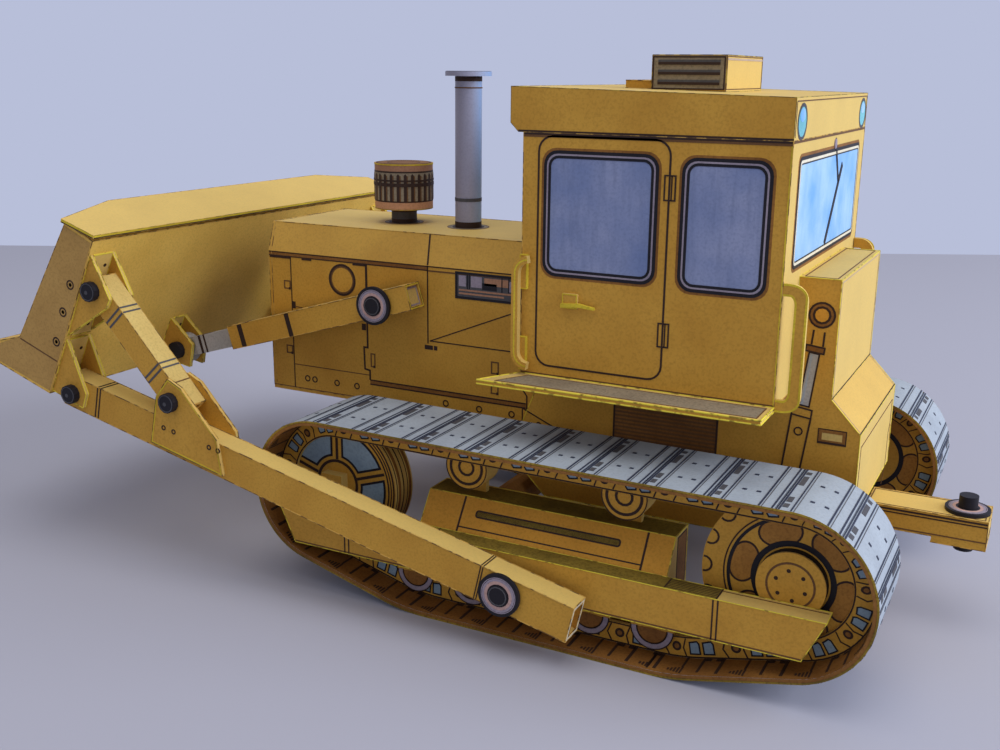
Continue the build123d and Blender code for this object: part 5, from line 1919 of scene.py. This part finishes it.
@dataclass
class Wheels:
    """Print on idlers, sprockets and the small rollers of one side."""

    side: int
    face: float = 33.18
    inner_face: float = 27.82
    idler: Point = (77.4, 17.4)
    idler_r: float = 11.62
    spokes: int = 5
    sprocket: Point = (0.0, 16.6)
    hub_r: float = 4.9
    hub_proud: float = 1.7
    tip_r: float = 11.77
    tooth_r: float = 1.1
    teeth: int = 18
    disc_r: float = 13.2       # outer card disc, with the gaps between teeth printed on it
    disc_reach: float = 58.0   # how far it goes up and down from the front, in degrees
    carriers: tuple[Point, ...] = ((25.6, 24.45), (52.4, 24.45))
    rollers: tuple[float, ...] = (19.9, 30.2, 40.6, 50.9, 61.3)
    roller_z: float = 4.9
    roller_face: float = 34.42
    ovals: int = 6
    oval_size: Point = (2.15, 3.1)
    oval_reach: Triple = (5.9, 7.3, 9.15)  # least, middle and most
    # rings: radius, width and ink
    roller_rings: tuple[tuple[float, float, Ink], ...] = (
        (3.35, 0.2, Ink.LINE), (2.9, 0.85, Ink.STEEL), (2.4, 0.26, Ink.LINE), (1.2, 2.3, Ink.BROWN))
    sprocket_rings: tuple[tuple[float, float, Ink], ...] = (
        (9.95, 0.2, Ink.LINE), (9.3, 0.45, Ink.BLACK), (5.6, 0.8, Ink.BLACK))
    # bands on the idler's rim: Y, width and ink
    rim_bands: tuple[tuple[float, float, Ink], ...] = (
        (28.6, 0.7, Ink.BROWN), (29.4, 0.2, Ink.LINE), (30.6, 0.3, Ink.LINE),
        (31.8, 0.7, Ink.BROWN), (32.6, 0.2, Ink.LINE))

    def build(self) -> None:
        """Print all wheels of the side, on both of their faces."""
        sheet = Sheet()
        outer = mine(UPRIGHT.side(self.face), self.side)
        inner = mine(UPRIGHT.inner_side(self.inner_face), self.side)
        disc = (arc(self.sprocket, self.disc_r, -self.disc_reach, self.disc_reach, 40)
                + arc(self.sprocket, 9.0, self.disc_reach, 360 - self.disc_reach, 40))
        sheet.fill(outer, disc, Ink.OCHRE, height=0.4 * LAYER, base=-0.45)
        for face in (outer, inner):
            self.idler_face(sheet, face)
            self.sprocket_face(sheet, face)
        self.tooth_lines(sheet, outer, inner)
        self.hub(sheet, outer)
        for centre in self.carriers:
            for radius, width in ((3.6, 0.16), (2.8, 0.45), (1.3, 0.4)):
                sheet.ring(outer, centre, radius, width, Ink.LINE)
        lower = mine(UPRIGHT.side(self.roller_face), self.side)
        for x in self.rollers:
            for radius, width, ink in self.roller_rings:
                sheet.stroke(lower, arc((x, self.roller_z), radius, 180, 360, 18), width, ink)
        for y, width, ink in self.rim_bands:
            self.rim_band(sheet, self.idler, self.idler_r, y - width / 2, y + width / 2, ink)
        sheet.finish(named("print_wheels", self.side), "chassis")

    def rim_band(self, sheet: Sheet, centre: Point, radius: float, y0: float, y1: float,
                 ink: Ink) -> None:
        """Print a band round a wheel's rim, between two distances from the middle."""
        sheet.band(Round(centre, radius, upright=False), 0.0, tau * radius,
                   *sorted((self.side * y0, self.side * y1)), ink, closed=True)

    def idler_face(self, sheet: Sheet, face: Flat) -> None:
        """Rings, spokes and the windows between them.

        Args:
            sheet: Where they are added.
            face: The wheel's face.
        """
        centre, step = self.idler, 360 // self.spokes
        for radius, width in ((11.3, 0.3), (10.8, 0.2), (10.3, 0.26), (3.9, 0.5)):
            sheet.ring(face, centre, radius, width, Ink.LINE)
        for spoke in range(90, 450, step):
            middle = spoke + step // 2
            outline = (arc(centre, 9.5, middle - 29.4, middle + 29.4, 10)
                       + arc(centre, 4.9, middle + 23, middle - 23, 8))
            sheet.fill(face, outline, Ink.BLUE)
            sheet.stroke(face, outline, 0.4, Ink.BLACK, closed=True)
            sheet.lines(face, 0.5, Ink.LINE, [polar(centre, 4.2, spoke), polar(centre, 9.9, spoke)])

    def sprocket_face(self, sheet: Sheet, face: Flat) -> None:
        """Dark rings and ovals, cut off by the rings.

        Args:
            sheet: Where they are added.
            face: The wheel's face.
        """
        least, reach, most = self.oval_reach
        for turn in range(12, 372, 360 // self.ovals):
            outline = []
            for a, b in oval((reach, 0.0), *self.oval_size, cuts=28):
                radius, angle = hypot(a, b), degrees(atan2(b, a))
                outline.append(polar(self.sprocket, min(max(radius, least), most), turn + angle))
            sheet.fill(face, outline, Ink.RUST)
            sheet.stroke(face, outline, 0.3, Ink.LINE, closed=True)
        for radius, width, ink in self.sprocket_rings:
            sheet.ring(face, self.sprocket, radius, width, ink, layer=2)

    def tooth_lines(self, sheet: Sheet, outer: Flat, inner: Flat) -> None:
        """Half rounds: the gaps on the outer disc, and the teeth on the inner face.

        Args:
            sheet: Where they are added.
            outer: The outer disc's face.
            inner: The face behind it.
        """
        lobe = self.tooth_r - 0.16
        for turn in range(0, 360, 360 // self.teeth):
            rounds = [(inner, self.tip_r - self.tooth_r, lobe, turn)]
            if min(turn, 360 - turn) < self.disc_reach:
                rounds.append((outer, self.disc_r - 0.3, 1.15, turn + 180))
            for face, reach, radius, middle in rounds:
                line = arc(polar(self.sprocket, reach, turn), radius, middle - 95, middle + 95, 8)
                sheet.stroke(face, line, 0.3, Ink.LINE)

    def hub(self, sheet: Sheet, face: Flat) -> None:
        """Dark rim and bolts of the sprocket's hub.

        Args:
            sheet: Where they are added.
            face: The hub's face.
        """
        self.rim_band(sheet, self.sprocket, self.hub_r, self.face + 0.02,
                      self.face + self.hub_proud - 0.35, Ink.BLACK)
        hub = Flat(face.origin + face.out * self.hub_proud, face.along, face.up, face.out)
        sheet.ring(hub, self.sprocket, 3.35, 0.3, Ink.SOFT_LINE)
        for turn in range(20, 380, 60):
            sheet.disc(hub, polar(self.sprocket, 2.2, turn), 0.3, Ink.LINE)


@dataclass
class Frames:
    """Print on the slanted track frame and the long outer beam of one side."""

    side: int
    inner: float = 35.0
    outer: float = 38.7
    low: float = 7.6
    beam_top: float = 14.0
    rear: float = -6.0
    front: float = 85.6
    tread_rear: float = 9.3
    tread_front: float = 17.0
    frame_rear: float = 17.8
    frame_front: float = 60.0
    frame_top: float = 19.0
    inset: float = 3.4
    panel: Point = (22.0, 53.2)            # rear and front seam of the leaning face
    beam_seams: tuple[float, ...] = (9.0, 9.7, 71.6, 72.4)

    def build(self) -> None:
        """Print both boxes of the side."""
        sheet, side = Sheet(), self.side
        rear, front, inner = self.frame_rear, self.frame_front, self.inner - self.inset
        face, slant = leaning(self.inner, self.beam_top, self.inset, self.frame_top - self.beam_top)
        face = mine(face, side)
        sheet.plate(face, rear + 0.1, front - 0.1, 0.1, slant - 0.1, Ink.GOLD)
        sheet.across(face, 0.34, Ink.LINE, 0.1, slant - 0.1, *self.panel[::-1])
        sheet.along(face, 0.22, Ink.LINE, *self.panel, 0.9)
        sheet.box(face, 26.0, 50.6, 2.9, 3.95, 0.26, Ink.LINE, Ink.OLIVE, corner=0.4)
        lid, end = mine(UPRIGHT.top(self.frame_top), side), mine(UPRIGHT.end(rear, -1.0), side)
        sheet.plate(lid, rear + 0.2, front - 0.2, inner - 5.2, inner - 0.2, Ink.OLIVE)
        sheet.box(end, inner - 5.0, inner - 0.9, 10.0, self.frame_top - 0.5, 0.24, Ink.LINE,
                  Ink.BROWN)
        self.beam(sheet)
        sheet.finish(named("print_frames", side), "chassis")

    def beam(self, sheet: Sheet) -> None:
        """Ledge, seams and edge lines of the long beam.

        Args:
            sheet: Where they are added.
        """
        ledge = mine(UPRIGHT.top(self.beam_top), self.side)
        y0, y1, a, b = self.inner + 0.1, self.outer - 0.15, self.tread_rear, self.tread_front
        sheet.plate(ledge, b, self.front - 0.2, y0, y1, Ink.OLIVE)
        sheet.plate(ledge, a, b, y0, y1, Ink.OLIVE)
        sheet.along(ledge, 0.12, Ink.LINE, a + 0.2, b - 0.1, *(y0 + 0.5 * n for n in range(1, 7)))
        sheet.across(ledge, 0.24, Ink.LINE, y0, y1, a, b, 56.0)
        sheet.along(ledge, 0.16, Ink.SOFT_LINE, self.rear + 0.3, a, y0 + 0.6)
        face = mine(UPRIGHT.side(self.outer), self.side)
        sheet.across(face, 0.22, Ink.LINE, self.low + 0.1, self.beam_top - 0.1, *self.beam_seams)
        sheet.along(face, 0.2, Ink.SOFT_LINE, self.rear + 3.0, self.front - 3.0, self.low + 0.25)


# ---- blade and arms
TRUNNION: Point = (40.2, 10.3)
PIVOT: Point = (78.4, 45.6)
UPPER_PIN: Point = (126.5, 22.5)       # the blade's pins, with the blade on the table
LOWER_PIN: Point = (127.2, 2.2)
STRUT_PIN: Point = (105.9, 10.9)
RAISE = 18.0              # degrees that the blade rests above the table


def raised() -> Drawing:
    """Side drawing of the blade frame as it lies with the blade on the table."""
    (x, z), c, s = TRUNNION, cos(radians(RAISE)), sin(radians(RAISE))
    return Drawing(x - c * x + s * z, z - s * x - c * z, RAISE)


def washer(sheet: Sheet, face: Flat, centre: Point) -> None:
    """Print a washer's rings inside its dark rim: a grey one and a pink one.

    Args:
        sheet: Where they are added.
        face: What it lies on.
        centre: Its centre.
    """
    for radius, width, ink in ((2.82, 0.12, Ink.STEEL), (2.5, 0.36, Ink.STEEL),
                               (2.05, 0.5, Ink.PINK), (1.65, 0.34, Ink.BLACK)):
        sheet.ring(face, centre, radius, width, ink)


def round_tube(line: Drawing, side: int, y0: float, y1: float,
               half: float) -> tuple[list[Flat], list[Flat]]:
    """The long faces of a square tube that follows a drawing.

    Args:
        line: The tube's own drawing, along its axis.
        side: The tube's side of the machine.
        y0: The tube's inner side.
        y1: Its outer side.
        half: Half its height.

    Returns:
        Its outer and inner side, and its top and bottom.
    """
    walls = [mine(line.side(y1), side), mine(line.inner_side(y0), side)]
    return walls, [mine(line.top(b, sign), side) for b, sign in ((half, 1.0), (-half, -1.0))]


@dataclass
class PushArm:
    """Print on one push arm, its gusset cheeks and its open rear end."""

    side: int
    inner: float = 40.4
    outer: float = 44.6
    half: float = 2.9
    tail: float = -11.5
    card: float = 0.6
    # place and width of the seams
    seams: tuple[Point, ...] = ((3.7, 0.18), (4.1, 0.18), (81.6, 0.26), (82.3, 0.26))
    gusset: tuple[Point, ...] = ((108.3, 1.9), (109.1, 10.5), (107.5, 14.5), (104.5, 14.1),
                                 (95.3, 8.9), (92.5, 3.3))
    bolts: tuple[Point, ...] = ((106.3, 5.7), (104.1, 6.0), (96.4, 6.9), (94.5, 7.2))

    def build(self) -> None:
        """Print the arm."""
        (x, z), (low_x, low_z), side = TRUNNION, LOWER_PIN, self.side
        y0, y1, half, card = self.inner, self.outer, self.half, self.card
        arm = Drawing(x, z, RAISE + degrees(atan2(low_z - z, low_x - x)))
        sheet = Sheet()
        walls, floors = round_tube(arm, side, y0, y1, half)
        for a, width in self.seams:
            for face in walls:
                sheet.across(face, width, Ink.LINE, 0.1 - half, half - 0.1, a)
            for face in floors:
                sheet.across(face, width, Ink.LINE, y0 + 0.05, y1 - 0.05, a)
        sheet.open_rim(mine(arm.end(self.tail, -1.0), side), y0, y1, half, card, 0.03, Ink.WHITE)
        floor = mine(arm.end(self.tail + 1.2, -1.0), side)
        sheet.plate(floor, y0 + card, y1 - card, card - half, half - card, Ink.ORANGE)
        for face in (raised().side(y1 + card), raised().inner_side(y0 - card)):
            face = mine(face, side)
            sheet.stroke(face, shrunk(self.gusset, 0.97), 0.2, Ink.CUT_EDGE_HIGHLIGHT, closed=True)
            for spot in self.bolts:
                sheet.bolt(face, spot, 0.36)
        sheet.finish(named("print_push_arm", side), "blade_frame")


@dataclass
class Strut:
    """Print on one strut."""

    side: int
    inner: float = 40.42
    outer: float = 44.58
    half: float = 2.2
    card: float = 0.6
    foot: float = -2.6
    head: float = 24.9
    bands: tuple[float, ...] = (5.4, 6.4, 17.2, 18.2)

    def build(self) -> None:
        """Print the strut's pale top and its soft double bands."""
        (low_x, low_z), (high_x, high_z) = STRUT_PIN, UPPER_PIN
        lean = degrees(atan2(high_z - low_z, high_x - low_x))
        strut = Drawing(*raised().spot(low_x, low_z), RAISE + lean)
        sheet, side, half, card = Sheet(), self.side, self.half, self.card
        walls, (top, _) = round_tube(strut, side, self.inner, self.outer, half)
        y0, y1 = self.inner + 0.1, self.outer - 0.1
        sheet.plate(top, self.foot + 0.1, self.head - 0.1, y0, y1, Ink.PALE)
        sheet.across(top, 0.2, Ink.SOFT_LINE, y0, y1, 2.2, layer=2)
        for a in self.bands:
            sheet.across(top, 0.3, Ink.SHADOW, y0, y1, a, layer=2)
            for face in walls:
                sheet.across(face, 0.36, Ink.SHADOW, 0.05 - half, half - 0.05, a)
        floor = mine(strut.end(self.foot + 1.2, -1.0), side)
        sheet.plate(floor, self.inner + card, self.outer - card, card - half, half - card,
                    Ink.ORANGE)
        sheet.finish(named("print_strut", side), "blade_frame")


@dataclass
class BladePrint:
    """Print on the blade's ends, and a painted highlight with a dark line under it along its
    cover's edge.
    """

    half: float = 45.6
    ring_bolts: tuple[Point, ...] = ((131.2, 21.7), (131.9, 16.2), (132.4, 10.2))
    end: tuple[Point, ...] = ((127.8, 31.2), (132.1, 0.0), (150.6, 0.0), (141.1, 7.2),
                              (134.4, 31.9))
    web_bolts: tuple[Point, ...] = ((42.5, 26.3), (42.5, 14.2), (42.5, 9.0), (17.0, 8.3))
    cover: Point = (127.2, 134.8)          # rear and front of the top cover
    cover_out: float = 0.6                 # how far it overhangs the ends

    def build(self) -> None:
        """Print the blade."""
        sheet, half, out, rear = Sheet(), self.half, self.cover_out, self.cover[0]
        for face in both(raised().side(half)):
            # painted shade: the end plates get the blade card's darker copy
            sheet.fill(face, shrunk(self.end, 0.97), Ink.BLADE_END_SHADE)
            for spot in self.ring_bolts:
                sheet.ring(face, spot, 0.75, 0.26, Ink.LINE)
                sheet.disc(face, spot, 0.35, Ink.STEEL)
            sheet.lines(face, 0.26, Ink.SOFT_LINE, [(140.9, 7.0), (131.5, 6.7)])
        web = Drawing(*raised().spot(131.78, 0.0), RAISE + degrees(atan2(4.3, 31.2)))
        for face in both(web.end(0.0, -1.0)):
            for y, v in self.web_bolts:
                for shift in (-1.0, 0.9):
                    sheet.disc(face, (y + shift, v), 0.34, Ink.LINE)
        # painted highlight: a bright band on the cover's shaded edge faces, with a dark line under
        # it
        spans = [(raised().end(rear, -1.0), (-half - 0.5, half + 0.5))]
        spans += [(face, (rear + 0.1, self.cover[1] - 0.1))
                  for face in both(raised().side(half + out))]
        for face, ends in spans:
            sheet.band(face, *ends, 32.12, 32.5, Ink.CUT_EDGE_HIGHLIGHT)
            sheet.band(face, *ends, 31.93, 32.1, Ink.LINE)
        sheet.finish("print_blade", "blade_frame")


@dataclass
class LiftPrint:
    """Print on one lift cylinder and its rod."""

    side: int
    angle: float = -16.357
    middle: float = 17.0
    half: float = 2.2
    wall: float = 0.35
    tail: float = -7.0
    rod_half: float = 1.75
    barrel_belts: tuple[Point, ...] = ((19.4, 20.4), (31.0, 32.1))
    rod_belts: tuple[Point, ...] = ((41.2, 41.6), (42.3, 42.9))

    def build(self) -> None:
        """Print barrel and rod, each riding on its own body."""
        line, side, half, wall = Drawing(*PIVOT, self.angle), self.side, self.half, self.wall
        barrel, rod = Sheet(), Sheet()
        y0, y1 = self.middle - half, self.middle + half
        self.belts(barrel, line, half, self.barrel_belts)
        barrel.open_rim(mine(line.end(self.tail, -1.0), side), y0, y1, half, wall, 0.02, Ink.CUT_EDGE_HIGHLIGHT)
        panel = mine(line.end(self.tail + 0.9, -1.0), side)
        barrel.plate(panel, y0 + wall, y1 - wall, wall - half, half - wall, Ink.PALE, height=0.6,
                     base=-0.4)
        barrel.box(panel, y0 + 0.7, y1 - 0.7, 0.7 - half, half - 0.7, 0.3, Ink.STEEL, height=0.63)
        barrel.finish(named("print_lift_barrel", side), named("lift_barrel", side))
        self.belts(rod, line, self.rod_half, self.rod_belts)
        rod.finish(named("print_lift_rod", side), named("lift_rod", side))

    def belts(self, sheet: Sheet, line: Drawing, half: float,
              spans: Sequence[Point]) -> None:
        """Dark bands all round a square tube.

        Args:
            sheet: Where they are added.
            line: The tube's axis.
            half: Half the tube's width.
            spans: Both ends of each band, along the tube.
        """
        y0, y1 = self.middle - half, self.middle + half
        walls, floors = round_tube(line, self.side, y0, y1, half)
        for span in spans:
            for face in walls:
                sheet.band(face, *span, -half, half, Ink.LINE)
            for face in floors:
                sheet.band(face, *span, y0, y1, Ink.LINE)


@dataclass
class Drawbar:
    """Print on the drawbar, and the washers and pin ends of the machine."""

    half: float = 3.8
    top: float = 19.2
    low: float = 15.4
    rear: float = -22.8
    front: float = -4.7
    hitch: Point = (-19.4, 0.0)
    hitch_washer: float = 19.82
    pin_r: float = 1.45
    # Y of the washer's face, Y of the pin's end, and centre of the fixed pins
    pins: tuple[tuple[float, float, Point], ...] = ((45.5, 45.8, TRUNNION), (20.1, 20.4, PIVOT))
    blade_pin_end: float = 46.44

    def build(self) -> None:
        """Print the drawbar, then washers and pins, each on its own body."""
        sheet, moving = Sheet(), Sheet()
        rear, front, half, low, top = self.rear, self.front, self.half, self.low, self.top
        for face in both(UPRIGHT.side(half)):
            for v, width, ink in ((top - 0.45, 0.3, Ink.LINE), (top - 0.95, 0.2, Ink.LINE),
                                  (low + 0.35, 0.2, Ink.SOFT_LINE)):
                sheet.along(face, width, ink, rear + 0.1, front, v)
        sheet.box(UPRIGHT.top(top), rear + 0.5, front - 0.2, 0.5 - half, half - 0.5, 0.16,
                  Ink.SOFT_LINE)
        sheet.along(UPRIGHT.end(rear, -1.0), 0.22, Ink.LINE, 0.1 - half, half - 0.1, low + 0.2)
        washer(sheet, UPRIGHT.top(self.hitch_washer), self.hitch)
        for y, end, centre in self.pins:
            for face, tip in zip(both(UPRIGHT.side(y)), both(UPRIGHT.side(end))):
                washer(sheet, face, centre)
                sheet.ring(tip, centre, self.pin_r, 0.16, Ink.SHADOW)
        for x, z in (UPPER_PIN, STRUT_PIN, LOWER_PIN):
            for tip in both(raised().side(self.blade_pin_end)):
                moving.ring(tip, (x, z), self.pin_r, 0.16, Ink.SHADOW)
                moving.disc(tip, (x + 0.2, z - 0.2), 0.35, Ink.SHADOW)
        sheet.finish("print_washers", "chassis", "grey_card")
        moving.finish("pin_ends_blade", "blade_frame", "black_pin")


ASSEMBLIES = (
    Hood(), HoodTop(), RearBody(), Cab(), Roof(), RunningBoards(), Drawbar(), BladePrint(),
    *(kind(side) for side in (1, -1)
      for kind in (TrackPrint, Wheels, Frames, PushArm, Strut, LiftPrint)),
)


# ---- solids, stage, view
def both_names(name: str) -> tuple[str, ...]:
    """The left and right name where a name ends in a dash, otherwise the name."""
    return (name + "left", name + "right") if name.endswith("_") else (name,)


@dataclass
class CadDress:
    """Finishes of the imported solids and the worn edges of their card."""

    # solids that aren't plain ochre; a name that ends in a dash stands for both sides
    finishes: tuple[tuple[Ink, tuple[str, ...]], ...] = (
        (Ink.SHOE, ("track_shoes_",)), (Ink.BROWN, ("cross_axles", "cab_floor")),
        (Ink.RED, ("precleaner",)), (Ink.GREY, ("lift_rod_",)),
        (Ink.BLACK, ("hitch_pin", "trunnions", "lift_pivots", "blade_pins")),
        (Ink.BLADE, ("blade_shell", "cutting_edge")))
    # body, look of the edges, the bead's least radius, and the solids
    folds: tuple[tuple[str, Edge, float, tuple[str, ...]], ...] = (
        ("chassis", Edge.FOLD, 0.05, ("hood_shell", "hood_front")),
        ("chassis", Edge.CUT, 0.05, ("rear_body",)), ("chassis", Edge.FOLD, 0.05, ("cab_walls",)),
        ("chassis", Edge.DARK, 0.03, ("cab_roof",)), ("chassis", Edge.DARK, 0.04, ("roof_vent",)),
        ("chassis", Edge.FOLD, 0.05, ("roof_hatch",)),
        ("chassis", Edge.CUT, 0.1, ("running_boards",)),
        ("chassis", Edge.CUT, 0.05, ("track_frame_", "beam_")),
        ("chassis", Edge.FOLD, 0.05, ("drawbar",)),
        ("blade_frame", Edge.FOLD, 0.06, ("push_arm_",)),
        ("blade_frame", Edge.FOLD, 0.05, ("strut_",)),
        ("blade_frame", Edge.CUT, 0.06, ("blade_brackets",)),
        ("blade_frame", Edge.FOLD, 0.06, ("blade_shell",)),
        ("blade_frame", Edge.FOLD, 0.03, ("blade_cover",)),
        ("blade_frame", Edge.FOLD, 0.05, ("cutting_edge",)),
        ("lift_barrel_", Edge.FOLD, 0.05, ("lift_barrel_",)))

    def dress(self) -> None:
        """Give every CAD piece its finish."""
        inks = {piece: ink for ink, names in self.finishes
                for name in names for piece in both_names(name)}
        for name, node in frame["nodes"].items():
            if not node.material_slots:
                node.data.materials.append(None)
            for slot in node.material_slots:
                slot.material = inks.get(name, Ink.OCHRE).material
        axis = AXES.point(EXHAUST_X, 0.0, 0.0)
        for slot in frame["nodes"]["exhaust"].material_slots:
            slot.material = PipeFinish("exhaust_tube", (axis.x, axis.y)).material()
        LOG.info("finishes on %d solids", len(frame["nodes"]))

    def wear(self) -> None:
        """Add the worn folds and cut edges with their painted highlight, one piece for each solid.
        """
        for body, edge, radius, names in self.folds:
            for name in names:
                for piece, carrier in zip(both_names(name), both_names(body) * 2):
                    mesh = worn_edges_with_highlight(piece, edge, radius)
                    if mesh is not None:
                        sheet = Sheet()
                        sheet.take(mesh)
                        sheet.finish("edges_" + piece, carrier)


@dataclass
class Studio:
    """Table, pale surroundings, lamps and camera."""

    table_colour: Rgb = (173, 174, 188)
    backdrop: Rgb = (184, 191, 217)
    room: Rgb = (226, 227, 240)
    room_light: float = 0.48
    table_ends: float = 0.352      # from the model, along the view, in metres
    eye: Triple = (-92.248, 180.820, 85.099)   # mm, in the shared frame
    yaw: float = -1.09646
    pitch: float = -0.26289
    roll: float = 0.00952
    lens: float = 40.43

    def table(self) -> None:
        """A pale table top that ends behind the model."""
        size = 4.0
        shape = bmesh.new()
        bmesh.ops.create_grid(shape, x_segments=1, y_segments=1, size=size / 2)
        mesh = bpy.data.meshes.new("table")
        shape.to_mesh(mesh)
        shape.free()
        table = bpy.data.objects.new("table", mesh)
        back = self.table_ends - size / 2
        table.location = (back * cos(self.yaw), back * sin(self.yaw), 0.0)
        table.rotation_euler = (0.0, 0.0, self.yaw)
        bpy.context.scene.collection.objects.link(table)
        plain, shader, _ = blank("table_plain", 0.8)
        feed(plain.node_tree, shader, {"Base Color": linear(self.table_colour)})
        mesh.materials.append(plain)

    def surroundings(self) -> None:
        """A pale backdrop that only the eye and shiny faces see, and soft light."""
        world = bpy.data.worlds.new("soft_room")
        bpy.context.scene.world = world
        world.use_nodes = True
        tree = world.node_tree
        light = tree.nodes["Background"]
        feed(tree, light, {"Color": linear(self.room), "Strength": self.room_light})
        seen = add(tree, "ShaderNodeBackground", {"Color": linear(self.backdrop), "Strength": 1.0})
        rays = add(tree, "ShaderNodeLightPath").outputs
        eye = add(tree, "ShaderNodeMath", {
            0: rays["Is Camera Ray"], 1: rays["Is Glossy Ray"]}, operation="MAXIMUM")
        clear = add(tree, "ShaderNodeMath", {
            0: eye.outputs["Value"], 1: rays["Is Transmission Ray"]}, operation="MAXIMUM")
        choose = add(tree, "ShaderNodeMixShader", {
            0: clear.outputs["Value"], 1: light.outputs["Background"],
            2: seen.outputs["Background"]})
        feed(tree, tree.nodes["World Output"], {"Surface": choose.outputs["Shader"]})

    def lamps(self) -> None:
        """A wide low window behind, a weak lamp overhead and a warm one in front."""
        self.lamp("window", (-0.95, -0.12, 0.42), 0.8, 10.5, (238, 243, 255))
        self.lamp("ceiling", (-0.1, 0.25, 1.1), 0.9, 5.0, (250, 246, 240))
        self.lamp("room", (-0.3, 1.0, 0.35), 0.8, 0.35, (255, 232, 200))

    @staticmethod
    def lamp(name: str, place: Triple, size: float, power: float, colour: Rgb) -> None:
        """Add a square lamp that looks at the model.

        Args:
            name: Its name.
            place: Where it hangs, in metres.
            size: Its side.
            power: Its power in watts.
            colour: Its light's colour.
        """
        light = bpy.data.lights.new(name, "AREA")
        light.shape, light.size, light.energy = "SQUARE", size, power
        light.color = linear(colour)[:3]
        lamp = bpy.data.objects.new(name, light)
        lamp.location = place
        aim = Vector((0, 0, 0.03)) - Vector(place)
        lamp.rotation_euler = aim.to_track_quat("-Z", "Y").to_euler()
        bpy.context.scene.collection.objects.link(lamp)

    def camera(self) -> None:
        """The main view, from the left and behind, a little above."""
        data = bpy.data.cameras.new("main_view")
        data.lens, data.sensor_width = self.lens, 36.0
        data.clip_start, data.clip_end = 0.01, 20.0
        camera = bpy.data.objects.new("main_view", data)
        level = cos(self.pitch)
        look = Vector((level * cos(self.yaw), level * sin(self.yaw), sin(self.pitch)))
        side = look.cross(Vector((0, 0, 1))).normalized()
        up = side.cross(look)
        right = cos(self.roll) * side + sin(self.roll) * up
        above = -sin(self.roll) * side + cos(self.roll) * up
        axes = Matrix((right, above, -look)).transposed().to_4x4()
        camera.matrix_world = Matrix.Translation(Vector(self.eye) * MM) @ axes
        bpy.context.scene.collection.objects.link(camera)
        bpy.context.scene.camera = camera

    def build(self) -> None:
        """Set up the whole stage."""
        bpy.context.scene.view_settings.view_transform = "Standard"
        self.table()
        self.surroundings()
        self.lamps()
        self.camera()


def main() -> None:
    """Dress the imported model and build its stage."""
    logging.basicConfig(level=logging.INFO, format="%(message)s")
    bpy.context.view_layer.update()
    dress = CadDress()
    dress.dress()
    dress.wear()
    for assembly in ASSEMBLIES:
        assembly.build()
    Studio().build()


if __name__ == "__main__":
    main()
